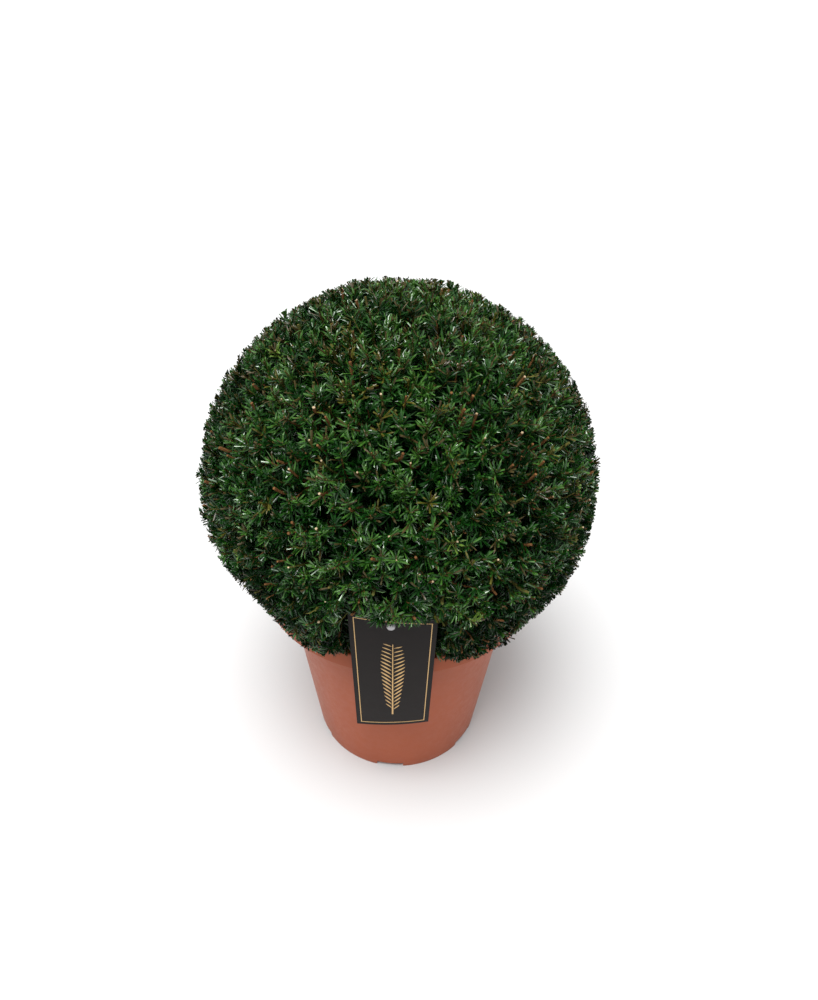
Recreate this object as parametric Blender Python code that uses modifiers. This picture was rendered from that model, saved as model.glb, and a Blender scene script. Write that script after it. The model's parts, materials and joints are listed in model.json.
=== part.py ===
"""Clipped english yew ball in a round plastic nursery pot, with a plain hanging label.

Units are metres and +Z is up. The origin is the centre of the circle that the pot stands on,
and the label hangs on the front, towards -Y.
"""

import math
import random

import bmesh
import bpy
from mathutils import Matrix, Vector

# Clearance between neighbouring solids
GAP = 0.0003

# Pot: a round container of 26 cm across the rim
FOOT_RADIUS = 0.085
WALL = 0.0024
RIM_LOW = 0.1936
WALL_RADIUS_AT_RIM = 0.1093
RIM_RADIUS = 0.1307
RIM_HEIGHT = 0.0154
RIM_DRAFT = 0.0015
POT_HEIGHT = RIM_LOW + RIM_HEIGHT
FOOT_WIDTH = 0.0055
FOOT_RECESS = 0.0062
POT_BEND = 0.0016
POT_STEPS = 64
NOTCH_COUNT = 6
NOTCH_WIDTH = 0.027
NOTCH_HEIGHT = 0.0056
NOTCH_TURN = math.radians(-4.0)
DRAIN_RADIUS = 0.006
DRAIN_CIRCLE = 0.058
DRAIN_SIDES = 16

# Growing medium: fills the pot to 22 mm below the top of the rim
SOIL_TOP = 0.1878
SOIL_FALL = 0.0035
SOIL_FLAT_RADIUS = 0.034
SOIL_CORNER = 0.002
SOIL_SLACK = 0.0005
SOIL_STEPS = 32

# Stem: short, leaning a little, with a root flare at the soil
STEM_LENGTH = 0.046
STEM_LEAN = (0.004, 0.003)
STEM_TOP_RADIUS = 0.0105
STEM_FLARE_RADIUS = 0.0225
FLARE_FALL = 0.0105
FLARE_LOBES = 5
FLARE_LOBE_DEPTH = 0.16
FLARE_LOBE_TURN = 0.7
STEM_RINGS = 9
STEM_ROUNDNESS = 4

# Crown: a clipped ball, hollow and woody inside, with a dense leafy shell
CROWN_CENTRE = Vector((-0.0016, 0.0, 0.3031))
CROWN_RADIUS = 0.1706
CROWN_UNEVENNESS = 0.003
CORE_RADIUS = 0.149
CORE_LUMP = 0.0024
CORE_WAVES_ROUND = (7.0, 3.0)
CORE_WAVES_UP = (5.0, 9.0)
CORE_SECOND_WAVE = 0.4
CORE_ABOVE_RIM = 0.0014
CORE_LOW = POT_HEIGHT + CORE_ABOVE_RIM
NECK_RADIUS = 0.1045
NECK_LOW = 0.1985
RECESS_RADIUS = 0.086
RECESS_CENTRE_Z = 0.2135
CORE_STEPS = 30
CORE_OUTER_RINGS = 11
CORE_INNER_RINGS = 5
LEADER_RADIUS = 0.0085
LEADER_SINK = 0.03
CROWN_LOWEST = 0.2005
CROWN_SIDES = 4

# Boughs: five tapering limbs from the fork to the roof of the hollow
BOUGH_COUNT = 5
BOUGH_BUTT_RADIUS = 0.0058
BOUGH_TIP_RADIUS = 0.0042
BOUGH_TILTS = (43.0, 52.0, 38.0, 56.0, 47.0)
BOUGH_TURNS = (8.0, 83.0, 150.0, 229.0, 297.0)
BOUGH_START_BELOW_FORK = 0.024
BOUGH_POINTS = 6
BOUGH_BOW = 0.004
BOUGH_TIP_SINK = 0.0025
BOUGH_ROUNDNESS = 2

# Sprays: a slim stalk with two whorls of needles, larger than life
SPRAY_COUNT = 116
SPRAY_SEED = 27
SPRAY_ROOT_DEPTH = 0.007
SPRAY_LOWEST = 0.0045
STALK_LENGTH = 0.0255
STALK_RADIUS = 0.0038
STALK_TAPER = 0.4
WHORL_NEEDLES = 4
SPRAY_COLUMNS = 2 * WHORL_NEEDLES
LEVEL_SHARES = (0.0, 0.40, 0.54, 0.68, 0.82, 1.0)
WHORL_LEVELS = (2, 4)
WHORL_SPREADS = (72.0, 44.0)
SPREAD_WANDER = 8.0
NEEDLE_LENGTHS = (0.030, 0.021)
NEEDLE_RANGE = (0.8, 1.05)
NEEDLE_MARGIN = 0.0014
SHOOT_LIFT = 0.34
SHOOT_LIFT_FROM = -0.5
SHOOT_WANDER = 0.20
SKIRT_HEIGHT = 0.238
SKIRT_DROP = 0.10
SEGMENT_SAMPLES = 6
FEWEST_NEEDLES = 3
GOLDEN_ANGLE = math.pi * (3.0 - math.sqrt(5.0))

# Label: a thin card that hangs on a fastener in front of the rim
LABEL_TOP_WIDTH = 0.0682
LABEL_BOTTOM_WIDTH = 0.0630
LABEL_LENGTH = 0.1506
LABEL_TOP_SLANT = 0.0035
LABEL_BOTTOM_SLANT = 0.0030
LABEL_THICKNESS = 0.0008
LABEL_LEAN = math.radians(7.0)
LABEL_X = -0.0026
LABEL_RIM_OFFSET = 0.0098
LABEL_TOP_Z = 0.2778
LABEL_BOW = 0.0022
LABEL_COLUMNS = 4
LABEL_ROWS = 8
LABEL_HOLE_RADIUS = 0.0024
LABEL_HOLE_DROP = 0.0088
LABEL_HOLE_ASIDE = -0.0014
LABEL_HOLE_SIDES = 16
LABEL_PUNCH_LENGTH = 0.02
LABEL_MARGIN = 0.0018
LABEL_LEE = (0.060, 0.315)

# Fastener: a button in front of the card on a shank that reaches back into the crown
BUTTON_RADIUS = 0.0034
BUTTON_THICKNESS = 0.0022
BUTTON_SIDES = 16
SHANK_RADIUS = 0.0015
SHANK_SIDES = 12
SHANK_SINK = 0.006


def clear_scene():
    """Remove every object that the scene starts with."""
    for obj in list(bpy.data.objects):
        bpy.data.objects.remove(obj, do_unlink=True)


def new_collection(name):
    """A new collection under the scene's own."""
    made = bpy.data.collections.new(name)
    bpy.context.scene.collection.children.link(made)
    return made


def new_material(name, colour, roughness):
    """A Principled material in one colour."""
    made = bpy.data.materials.new(name)
    made.use_nodes = True
    shader = made.node_tree.nodes["Principled BSDF"]
    shader.inputs["Base Color"].default_value = (*colour, 1.0)
    shader.inputs["Roughness"].default_value = roughness
    shader.inputs["Metallic"].default_value = 0.0
    made.diffuse_color = (*colour, 1.0)
    return made


def object_from_bmesh(bm, name, home):
    """Turn a bmesh into an object of a collection."""
    mesh = bpy.data.meshes.new(name)
    bm.to_mesh(mesh)
    bm.free()
    obj = bpy.data.objects.new(name, mesh)
    home.objects.link(obj)
    return obj


def solidified(obj):
    """Replace an object's curve or modifiers by the mesh that they give."""
    bpy.context.view_layer.update()
    graph = bpy.context.evaluated_depsgraph_get()
    mesh = bpy.data.meshes.new_from_object(obj.evaluated_get(graph))
    bm = bmesh.new()
    bm.from_mesh(mesh)
    bmesh.ops.remove_doubles(bm, verts=bm.verts, dist=1e-6)
    bm.to_mesh(mesh)
    bm.free()
    name = obj.name
    home = obj.users_collection[0]
    place = obj.matrix_world.copy()
    bpy.data.objects.remove(obj, do_unlink=True)
    made = bpy.data.objects.new(name, mesh)
    made.matrix_world = place
    home.objects.link(made)
    return made


def shade_round(obj, material, sharp_above=35.0):
    """Smooth shading with sharp edges, and one material."""
    obj.data.shade_smooth()
    obj.data.set_sharp_from_angle(angle=math.radians(sharp_above))
    obj.data.materials.clear()
    obj.data.materials.append(material)


def turned(name, profile, steps, home):
    """Turn a profile of (radius, height) points about the vertical axis into a closed solid."""
    bm = bmesh.new()
    points = [bm.verts.new((radius, 0.0, height)) for radius, height in profile]
    for first, second in zip(points, points[1:]):
        bm.edges.new((first, second))
    obj = object_from_bmesh(bm, name, home)
    screw = obj.modifiers.new("Turn", "SCREW")
    screw.axis = "Z"
    screw.angle = 2.0 * math.pi
    screw.steps = steps
    screw.render_steps = steps
    screw.use_merge_vertices = True
    screw.merge_threshold = 1e-5
    return obj


def cut(obj, cutter):
    """Take one solid out of another."""
    boolean = obj.modifiers.new("Cut " + cutter.name, "BOOLEAN")
    boolean.operation = "DIFFERENCE"
    boolean.solver = "EXACT"
    boolean.object = cutter


def as_cutter(obj):
    """Mark an object as a helper that is not part of the model."""
    obj.hide_render = True
    obj.display_type = "WIRE"
    return obj


def wall_radius(height):
    """Outer radius of the pot's straight wall at a height."""
    return FOOT_RADIUS + (WALL_RADIUS_AT_RIM - FOOT_RADIUS) * height / RIM_LOW


def pot_profile():
    """Half section of the pot, from the middle of its floor, up inside and down outside."""
    floor_top = FOOT_RECESS + WALL
    neck = wall_radius(POT_HEIGHT)
    rim_top = RIM_RADIUS - RIM_DRAFT
    return [
        (0.0, floor_top),
        (wall_radius(floor_top) - WALL - POT_BEND, floor_top),
        (wall_radius(floor_top + POT_BEND) - WALL, floor_top + POT_BEND),
        (neck - WALL, POT_HEIGHT - POT_BEND),
        (neck - WALL + POT_BEND, POT_HEIGHT),
        (rim_top - POT_BEND, POT_HEIGHT),
        (rim_top, POT_HEIGHT - POT_BEND),
        (RIM_RADIUS, RIM_LOW + POT_BEND * 0.5),
        (RIM_RADIUS - POT_BEND * 0.5, RIM_LOW),
        (RIM_RADIUS - WALL, RIM_LOW),
        (rim_top - WALL, POT_HEIGHT - WALL - POT_BEND * 0.5),
        (rim_top - WALL - POT_BEND, POT_HEIGHT - WALL),
        (wall_radius(POT_HEIGHT - WALL) + POT_BEND, POT_HEIGHT - WALL),
        (wall_radius(POT_HEIGHT - WALL - POT_BEND), POT_HEIGHT - WALL - POT_BEND),
        (wall_radius(POT_BEND), POT_BEND),
        (FOOT_RADIUS - POT_BEND * 0.5, 0.0),
        (FOOT_RADIUS - FOOT_WIDTH, 0.0),
        (FOOT_RADIUS - FOOT_WIDTH, FOOT_RECESS),
        (0.0, FOOT_RECESS),
    ]


def foot_cutters(home):
    """Notches through the foot ring and drain holes through the floor behind them."""
    bm = bmesh.new()
    for index in range(NOTCH_COUNT):
        turn = Matrix.Rotation(NOTCH_TURN + index * 2.0 * math.pi / NOTCH_COUNT, 4, "Z")
        reach = FOOT_WIDTH * 3.0
        size = Matrix.Diagonal((NOTCH_WIDTH, reach, NOTCH_HEIGHT * 2.0, 1.0))
        place = Matrix.Translation((0.0, -FOOT_RADIUS, 0.0))
        bmesh.ops.create_cube(bm, size=1.0, matrix=turn @ place @ size)
        bmesh.ops.create_cone(
            bm,
            cap_ends=True,
            segments=DRAIN_SIDES,
            radius1=DRAIN_RADIUS,
            radius2=DRAIN_RADIUS,
            depth=WALL * 3.0,
            matrix=turn @ Matrix.Translation((0.0, -DRAIN_CIRCLE, FOOT_RECESS + WALL * 0.5)),
        )
    return as_cutter(object_from_bmesh(bm, "foot_cutters", home))


def make_pot(home, helpers, material):
    """The pot: a turned shell with a wide turned-down rim, foot notches and drain holes."""
    pot = turned("pot", pot_profile(), POT_STEPS, home)
    cut(pot, foot_cutters(helpers))
    shade_round(solidified(pot), material)


def make_growing_medium(home, material):
    """The growing medium: fills the pot, flat round the stem and falling a little to the wall."""
    floor = FOOT_RECESS + WALL + GAP
    inset = WALL + SOIL_SLACK
    edge = SOIL_TOP - SOIL_FALL
    profile = [
        (0.0, SOIL_TOP),
        (SOIL_FLAT_RADIUS, SOIL_TOP),
        (SOIL_FLAT_RADIUS * 2.0, SOIL_TOP - SOIL_FALL * 0.6),
        (wall_radius(edge) - inset - SOIL_CORNER, edge),
        (wall_radius(edge - SOIL_CORNER) - inset, edge - SOIL_CORNER),
        (wall_radius(floor + SOIL_CORNER) - inset, floor + SOIL_CORNER),
        (wall_radius(floor) - inset - SOIL_CORNER, floor),
        (0.0, floor),
    ]
    soil = turned("growing_medium", profile, SOIL_STEPS, home)
    shade_round(solidified(soil), material)


def limb(name, points, radii, home, resolution):
    """A closed round limb along points, as thick as radii say."""
    curve = bpy.data.curves.new(name, "CURVE")
    curve.dimensions = "3D"
    curve.bevel_depth = 1.0
    curve.bevel_resolution = resolution
    curve.use_fill_caps = True
    spline = curve.splines.new("POLY")
    spline.points.add(len(points) - 1)
    for knot, point, radius in zip(spline.points, points, radii):
        knot.co = (*point, 1.0)
        knot.radius = radius
    obj = bpy.data.objects.new(name, curve)
    home.objects.link(obj)
    return solidified(obj)


def stem_foot():
    """Height of the flat cut under the stem."""
    return SOIL_TOP + GAP


def stem_axis(share):
    """Point on the stem's centre line, from 0 at the soil to 1 at the fork."""
    lean = share * share * (3.0 - 2.0 * share)
    return Vector((STEM_LEAN[0] * lean, STEM_LEAN[1] * lean, stem_foot() + STEM_LENGTH * share))


def stem_radius(height):
    """Radius of the stem at a height above its foot, with the flare dying out upwards."""
    flare = (STEM_FLARE_RADIUS - STEM_TOP_RADIUS) * math.exp(-height / FLARE_FALL)
    return STEM_TOP_RADIUS + flare


def make_stem(name, home, extra=0.0):
    """The stem: a tapering trunk whose foot is drawn out in lobes. extra fattens it all round."""
    shares = [(index / (STEM_RINGS - 1)) ** 1.5 for index in range(STEM_RINGS)]
    points = [stem_axis(share) for share in shares]
    radii = [stem_radius(STEM_LENGTH * share) + extra for share in shares]
    stem = limb(name, points, radii, home, STEM_ROUNDNESS)
    foot = stem_foot()
    for vertex in stem.data.vertices:
        height = vertex.co.z - foot
        turn = math.atan2(vertex.co.y, vertex.co.x)
        depth = FLARE_LOBE_DEPTH * math.exp(-height / FLARE_FALL)
        swell = 1.0 + depth * math.cos(FLARE_LOBES * turn + FLARE_LOBE_TURN)
        vertex.co.x *= swell
        vertex.co.y *= swell
    return stem


def recess_top():
    """Middle of the sphere that hollows the crown out from below."""
    return Vector((CROWN_CENTRE.x, CROWN_CENTRE.y, RECESS_CENTRE_Z))


def bough_line(index):
    """Centre line of a bough: from inside the fork, bowing a little, into the roof of the hollow."""
    turn = math.radians(BOUGH_TURNS[index])
    tilt = math.radians(BOUGH_TILTS[index])
    fork = stem_axis(1.0)
    start = fork - Vector((0.0, 0.0, BOUGH_START_BELOW_FORK))
    way = Vector((math.sin(tilt) * math.cos(turn), math.sin(tilt) * math.sin(turn), math.cos(tilt)))
    offset = start - recess_top()
    reach = RECESS_RADIUS + BOUGH_TIP_SINK
    along = offset.dot(way)
    length = -along + math.sqrt(along * along - offset.length_squared + reach * reach)
    side = way.cross(Vector((0.0, 0.0, 1.0))).normalized()
    bend = side.cross(way) * (BOUGH_BOW if index % 2 else -BOUGH_BOW)
    points = []
    for step in range(BOUGH_POINTS):
        share = step / (BOUGH_POINTS - 1)
        points.append(start + way * (length * share) + bend * math.sin(math.pi * share))
    return points


def bough_limb(name, index, home, extra=0.0):
    """One tapering bough along its line. extra fattens it and carries its tip further."""
    points = bough_line(index)
    points[-1] += (points[-1] - points[-2]).normalized() * extra
    radii = []
    for step in range(BOUGH_POINTS):
        share = step / (BOUGH_POINTS - 1)
        radii.append(BOUGH_BUTT_RADIUS + (BOUGH_TIP_RADIUS - BOUGH_BUTT_RADIUS) * share + extra)
    return limb(name, points, radii, home, BOUGH_ROUNDNESS)


def make_boughs(home, helpers, material):
    """The boughs: each a tapering limb, cut to the stem's side at its butt."""
    stem_space = as_cutter(make_stem("stem_space", helpers, extra=GAP * 1.5))
    for index in range(BOUGH_COUNT):
        bough = bough_limb(f"bough_{index + 1}", index, home)
        cut(bough, stem_space)
        shade_round(solidified(bough), material)


def label_frame():
    """Middle of the label's top edge, and its directions across, down and out towards the front."""
    down = Vector((0.0, math.sin(LABEL_LEAN), -math.cos(LABEL_LEAN)))
    across = Vector((1.0, 0.0, 0.0))
    out = Vector((0.0, -math.cos(LABEL_LEAN), -math.sin(LABEL_LEAN)))
    rise = (LABEL_TOP_Z - POT_HEIGHT) / math.cos(LABEL_LEAN)
    at_rim = Vector((LABEL_X, -(RIM_RADIUS + LABEL_RIM_OFFSET), POT_HEIGHT))
    return at_rim - down * rise, across, down, out


def label_depth(side):
    """How far the card stands proud of its plane. side is -1 at the left edge to 1 at the right."""
    return -LABEL_BOW * side * side


def crown_core_profile():
    """Half section of the core: a ball, cut level over the rim, with a neck and a hollow below."""
    low = math.acos((CORE_LOW - CROWN_CENTRE.z) / CORE_RADIUS)
    points = [(0.0, CROWN_CENTRE.z + CORE_RADIUS)]
    for ring in range(1, CORE_OUTER_RINGS + 1):
        angle = low * ring / CORE_OUTER_RINGS
        points.append((CORE_RADIUS * math.sin(angle), CROWN_CENTRE.z + CORE_RADIUS * math.cos(angle)))
    points.append((NECK_RADIUS, CORE_LOW))
    points.append((NECK_RADIUS, NECK_LOW))
    points.append((RECESS_RADIUS, NECK_LOW))
    for ring in range(CORE_INNER_RINGS):
        angle = 0.5 * math.pi * (1.0 - ring / CORE_INNER_RINGS)
        points.append((RECESS_RADIUS * math.sin(angle), RECESS_CENTRE_Z + RECESS_RADIUS * math.cos(angle)))
    points.append((0.0, RECESS_CENTRE_Z + RECESS_RADIUS))
    return points


def core_swell(offset):
    """Share of CORE_LUMP by which the core stands out at an offset from the crown's centre."""
    turn = math.atan2(offset.y, offset.x)
    height = offset.z / CORE_RADIUS
    level = max(0.0, 1.0 - height * height)
    first, second = (
        math.sin(round_it * turn + up * height) for round_it, up in zip(CORE_WAVES_ROUND, CORE_WAVES_UP)
    )
    swell = level * (first + CORE_SECOND_WAVE * second)
    half_width, top = LABEL_LEE
    behind_label = abs(offset.x) < half_width and offset.y < 0.0 and CROWN_CENTRE.z + offset.z < top
    return min(swell, 0.0) if behind_label else swell


def make_core(home):
    """The crown's core: a turned ball with a lumpy outside."""
    core = turned("foliage", crown_core_profile(), CORE_STEPS, home)
    core.location = (CROWN_CENTRE.x, CROWN_CENTRE.y, 0.0)
    core = solidified(core)
    middle = Vector((0.0, 0.0, CROWN_CENTRE.z))
    for vertex in core.data.vertices:
        offset = vertex.co - middle
        if offset.length > CORE_RADIUS * 0.98 and vertex.co.z > CORE_LOW + CORE_LUMP:
            vertex.co += offset.normalized() * (CORE_LUMP * core_swell(offset))
    return core


def crown_directions(count, lowest):
    """Straight up and out to the four sides, then even directions down a golden spiral."""
    directions = [Vector((0.0, 0.0, 1.0))]
    for side in range(CROWN_SIDES):
        angle = 2.0 * math.pi * side / CROWN_SIDES
        directions.append(Vector((math.cos(angle), math.sin(angle), 0.0)))
    for index in range(count):
        height = 1.0 - (index + 0.5) / count * (1.0 - lowest)
        ring = math.sqrt(1.0 - height * height)
        turn = index * GOLDEN_ANGLE
        directions.append(Vector((ring * math.cos(turn), ring * math.sin(turn), height)))
    return directions


def is_free(point, margin):
    """Whether a point of the crown is clear of the pot, its rim and the label's space."""
    radius = math.hypot(point.x, point.y)
    over_pot = radius < RIM_RADIUS + GAP + margin
    if over_pot and point.z < POT_HEIGHT + GAP + margin:
        return False
    if point.z < CROWN_LOWEST:
        return False
    top, across, down, out = label_frame()
    offset = point - top
    beside = abs(offset.dot(across)) < LABEL_TOP_WIDTH * 0.5 + LABEL_MARGIN
    behind = offset.dot(out) < -(LABEL_MARGIN + LABEL_BOW + margin)
    below_top = offset.dot(down) > -(LABEL_MARGIN + LABEL_TOP_SLANT) - max(0.0, offset.dot(out))
    return behind or not (beside and below_top)


def is_segment_free(start, end, margin):
    """Whether a straight piece of a spray is clear of everything along its length."""
    shares = (step / (SEGMENT_SAMPLES - 1) for step in range(SEGMENT_SAMPLES))
    return all(is_free(start.lerp(end, share), margin) for share in shares)


def shoot_way(direction, chance):
    """Direction that a shoot takes: outwards, lifted a little, and level just above the rim."""
    lift = SHOOT_LIFT * max(0.0, direction.z - SHOOT_LIFT_FROM)
    astray = Vector([chance.uniform(-SHOOT_WANDER, SHOOT_WANDER) for _ in range(3)])
    way = (direction + Vector((0.0, 0.0, lift)) + astray).normalized()
    if CROWN_CENTRE.z + direction.z * CORE_RADIUS < SKIRT_HEIGHT:
        way.z = max(way.z, -SKIRT_DROP)
    return way.normalized()


def needle_plan(way, chance):
    """Each needle's level and column on its stalk, the share of the stalk at its root, and its run."""
    side = way.orthogonal().normalized()
    other = way.cross(side)
    plan = {}
    for whorl, level in enumerate(WHORL_LEVELS):
        for number in range(WHORL_NEEDLES):
            column = 2 * number + whorl
            angle = column * 2.0 * math.pi / SPRAY_COLUMNS
            spread = math.radians(WHORL_SPREADS[whorl] + chance.uniform(-SPREAD_WANDER, SPREAD_WANDER))
            aside = side * math.cos(angle) + other * math.sin(angle)
            run = (way * math.cos(spread) + aside * math.sin(spread)) * NEEDLE_LENGTHS[whorl]
            plan[level, column] = run * chance.uniform(*NEEDLE_RANGE)
    return side, other, plan


def largest_scale(root, tips, reach):
    """Scale about the root at which the first of the tips comes to a distance from the centre."""
    offset = root - CROWN_CENTRE
    scales = []
    for tip in tips:
        along = offset.dot(tip) / tip.length_squared
        spare = (reach * reach - offset.length_squared) / tip.length_squared
        scales.append(-along + math.sqrt(along * along + spare))
    return min(scales)


def star_body(name, place, home):
    """A closed spray: a sphere's rings drawn out along a stalk to where place says."""
    bm = bmesh.new()
    levels = len(LEVEL_SHARES) - 1
    bmesh.ops.create_uvsphere(bm, u_segments=SPRAY_COLUMNS, v_segments=levels, radius=1.0)
    for vertex in bm.verts:
        rise = max(-1.0, min(1.0, vertex.co.z))
        level = round(levels * (1.0 - math.acos(rise) / math.pi))
        turn = math.atan2(vertex.co.y, vertex.co.x) / (2.0 * math.pi)
        column = round(turn * SPRAY_COLUMNS) % SPRAY_COLUMNS
        vertex.co = place(level, column)
    bmesh.ops.recalc_face_normals(bm, faces=bm.faces)
    return object_from_bmesh(bm, name, home)


def grow_spray(index, direction, chance, home):
    """One spray: a stalk rooted in the core, with those of its needles that are free."""
    root = CROWN_CENTRE + direction * (CORE_RADIUS - SPRAY_ROOT_DEPTH)
    way = shoot_way(direction, chance) if index > CROWN_SIDES else direction
    side, other, plan = needle_plan(way, chance)
    reach = CROWN_RADIUS - max(0.0, chance.uniform(-0.5, 1.0)) * CROWN_UNEVENNESS
    tips = [way * (STALK_LENGTH * LEVEL_SHARES[level]) + run for (level, _), run in plan.items()]
    tips.append(way * STALK_LENGTH)
    scale = largest_scale(root, tips, reach)
    stalk = way * (STALK_LENGTH * scale)
    if not is_segment_free(root + stalk * LEVEL_SHARES[1], root + stalk, STALK_RADIUS):
        return
    free = {}
    for (level, column), run in plan.items():
        start = root + stalk * LEVEL_SHARES[level]
        if is_segment_free(start, start + run * scale, NEEDLE_MARGIN):
            free[level, column] = start + run * scale
    if len(free) < FEWEST_NEEDLES:
        return

    def place(level, column):
        """Where a point of the spray goes: out to a needle's tip, or on the stalk."""
        if (level, column) in free:
            return free[level, column]
        if level in (0, len(LEVEL_SHARES) - 1):
            return root + stalk * LEVEL_SHARES[level]
        angle = column * 2.0 * math.pi / SPRAY_COLUMNS
        ring = side * math.cos(angle) + other * math.sin(angle)
        radius = STALK_RADIUS * (1.0 - STALK_TAPER * LEVEL_SHARES[level])
        return root + stalk * LEVEL_SHARES[level] + ring * radius

    star_body(f"spray_{index}", place, home)


def keep_outer_body(obj):
    """Drop loose scraps and sealed hollows, so that one closed body is left."""
    bm = bmesh.new()
    bm.from_mesh(obj.data)
    unseen = set(bm.faces)
    islands = []
    while unseen:
        island = [unseen.pop()]
        for face in island:
            for edge in face.edges:
                for neighbour in edge.link_faces:
                    if neighbour in unseen:
                        unseen.remove(neighbour)
                        island.append(neighbour)
        islands.append(island)
    islands.sort(key=len)
    loose = [face for island in islands[:-1] for face in island]
    bmesh.ops.delete(bm, geom=loose, context="FACES")
    bm.to_mesh(obj.data)
    bm.free()


def make_foliage(home, helpers, material):
    """The clipped crown: a hollowed core on its leader, with sprays of needles fused on."""
    parts = new_collection("crown_parts")
    chance = random.Random(SPRAY_SEED)
    low = (CORE_LOW + SPRAY_LOWEST - CROWN_CENTRE.z) / CORE_RADIUS
    for index, direction in enumerate(crown_directions(SPRAY_COUNT, low)):
        grow_spray(index, direction, chance, parts)
    fork = stem_axis(1.0)
    roof = Vector((fork.x, fork.y, RECESS_CENTRE_Z + RECESS_RADIUS + LEADER_SINK))
    points = [fork + Vector((0.0, 0.0, GAP * 1.5)), fork.lerp(roof, 0.5), roof]
    radii = [LEADER_RADIUS, LEADER_RADIUS * 0.9, LEADER_RADIUS * 0.7]
    limb("leader", points, radii, parts, BOUGH_ROUNDNESS)
    core = make_core(home)
    for index in range(BOUGH_COUNT):
        cut(core, as_cutter(bough_limb(f"bough_space_{index + 1}", index, helpers, extra=GAP * 1.2)))
    cut(core, as_cutter(shank("shank_space", helpers, SHANK_RADIUS + GAP * 1.2, GAP * 1.2)))
    join = core.modifiers.new("Join", "BOOLEAN")
    join.operation = "UNION"
    join.solver = "EXACT"
    join.operand_type = "COLLECTION"
    join.collection = parts
    crown = solidified(core)
    for obj in list(parts.objects):
        bpy.data.objects.remove(obj, do_unlink=True)
    bpy.data.collections.remove(parts)
    keep_outer_body(crown)
    shade_round(crown, material)


def label_point(side, drop):
    """Point on the label's middle surface. drop is 0 at the top edge to 1 at the bottom."""
    top, across, down, out = label_frame()
    width = LABEL_TOP_WIDTH + (LABEL_BOTTOM_WIDTH - LABEL_TOP_WIDTH) * drop
    slant = side * (LABEL_TOP_SLANT * (1.0 - drop) - LABEL_BOTTOM_SLANT * drop)
    flat = top + across * (side * width * 0.5) + down * (LABEL_LENGTH * drop + slant)
    return flat + out * label_depth(side)


def label_hole():
    """Centre of the punched hole, and the way that the bent card faces there."""
    side = LABEL_HOLE_ASIDE / (LABEL_TOP_WIDTH * 0.5)
    drop = LABEL_HOLE_DROP / LABEL_LENGTH
    step = 0.05
    centre = label_point(side, drop)
    across = label_point(side + step, drop) - centre
    down = label_point(side, drop + step) - centre
    return centre, down.cross(across).normalized()


def label_hole_place():
    """Matrix whose origin is the hole's centre and whose Z is out of the card's front."""
    centre, out = label_hole()
    return Matrix.Translation(centre) @ out.to_track_quat("Z", "Y").to_matrix().to_4x4()


def make_label(home, helpers, material):
    """The label: a thin tapered card, slightly bent, with a hole for its fastener."""
    bm = bmesh.new()
    bmesh.ops.create_grid(bm, x_segments=LABEL_COLUMNS, y_segments=LABEL_ROWS, size=1.0)
    for vertex in bm.verts:
        vertex.co = label_point(vertex.co.x, 0.5 - 0.5 * vertex.co.y)
    bmesh.ops.recalc_face_normals(bm, faces=bm.faces)
    label = object_from_bmesh(bm, "label", home)
    shell = label.modifiers.new("Thickness", "SOLIDIFY")
    shell.thickness = LABEL_THICKNESS
    shell.offset = 0.0
    shell.use_even_offset = True
    bm = bmesh.new()
    bmesh.ops.create_cone(
        bm,
        cap_ends=True,
        segments=LABEL_HOLE_SIDES,
        radius1=LABEL_HOLE_RADIUS,
        radius2=LABEL_HOLE_RADIUS,
        depth=LABEL_PUNCH_LENGTH,
        matrix=label_hole_place(),
    )
    punch = as_cutter(object_from_bmesh(bm, "label_punch", helpers))
    cut(label, punch)
    shade_round(solidified(label), material)


def shank_length():
    """Way from the card's back to a seat inside the crown's core, along the fastener."""
    start, out = label_hole()
    offset = start - CROWN_CENTRE
    along = -offset.dot(out)
    reach = CORE_RADIUS - SHANK_SINK
    return -along - math.sqrt(along * along - offset.length_squared + reach * reach)


def shank(name, home, radius, extra):
    """A round pin from the card back into the core. extra carries its end further."""
    length = shank_length() + extra
    bm = bmesh.new()
    bmesh.ops.create_cone(
        bm,
        cap_ends=True,
        segments=SHANK_SIDES,
        radius1=radius,
        radius2=radius,
        depth=length,
        matrix=label_hole_place() @ Matrix.Translation((0.0, 0.0, -length * 0.5)),
    )
    return object_from_bmesh(bm, name, home)


def make_fastener(home, material):
    """The fastener: a domed button on a shank, turned about its own axis."""
    face = LABEL_THICKNESS * 0.5 + GAP
    profile = [
        (0.0, face + BUTTON_THICKNESS),
        (BUTTON_RADIUS * 0.75, face + BUTTON_THICKNESS * 0.85),
        (BUTTON_RADIUS, face + BUTTON_THICKNESS * 0.35),
        (BUTTON_RADIUS, face),
        (SHANK_RADIUS, face),
        (SHANK_RADIUS, -shank_length()),
        (0.0, -shank_length()),
    ]
    fastener = turned("label_fastener", profile, BUTTON_SIDES, home)
    fastener.matrix_world = label_hole_place()
    shade_round(solidified(fastener), material)


def main():
    """Build every sub-part of the potted yew ball."""
    clear_scene()
    home = new_collection("potted_yew_ball")
    helpers = new_collection("cutters")
    terracotta = new_material("terracotta_plastic", (0.42, 0.125, 0.07), 0.42)
    peat = new_material("peat", (0.035, 0.022, 0.014), 0.95)
    bark = new_material("yew_bark", (0.16, 0.075, 0.045), 0.85)
    needle_green = new_material("yew_needles", (0.022, 0.065, 0.016), 0.45)
    card = new_material("label_card", (0.045, 0.038, 0.035), 0.35)
    white_plastic = new_material("white_plastic", (0.75, 0.74, 0.72), 0.4)
    make_pot(home, helpers, terracotta)
    make_growing_medium(home, peat)
    shade_round(make_stem("stem", home), bark)
    make_boughs(home, helpers, bark)
    make_foliage(home, helpers, needle_green)
    make_label(home, helpers, card)
    make_fastener(home, white_plastic)


main()
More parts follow.
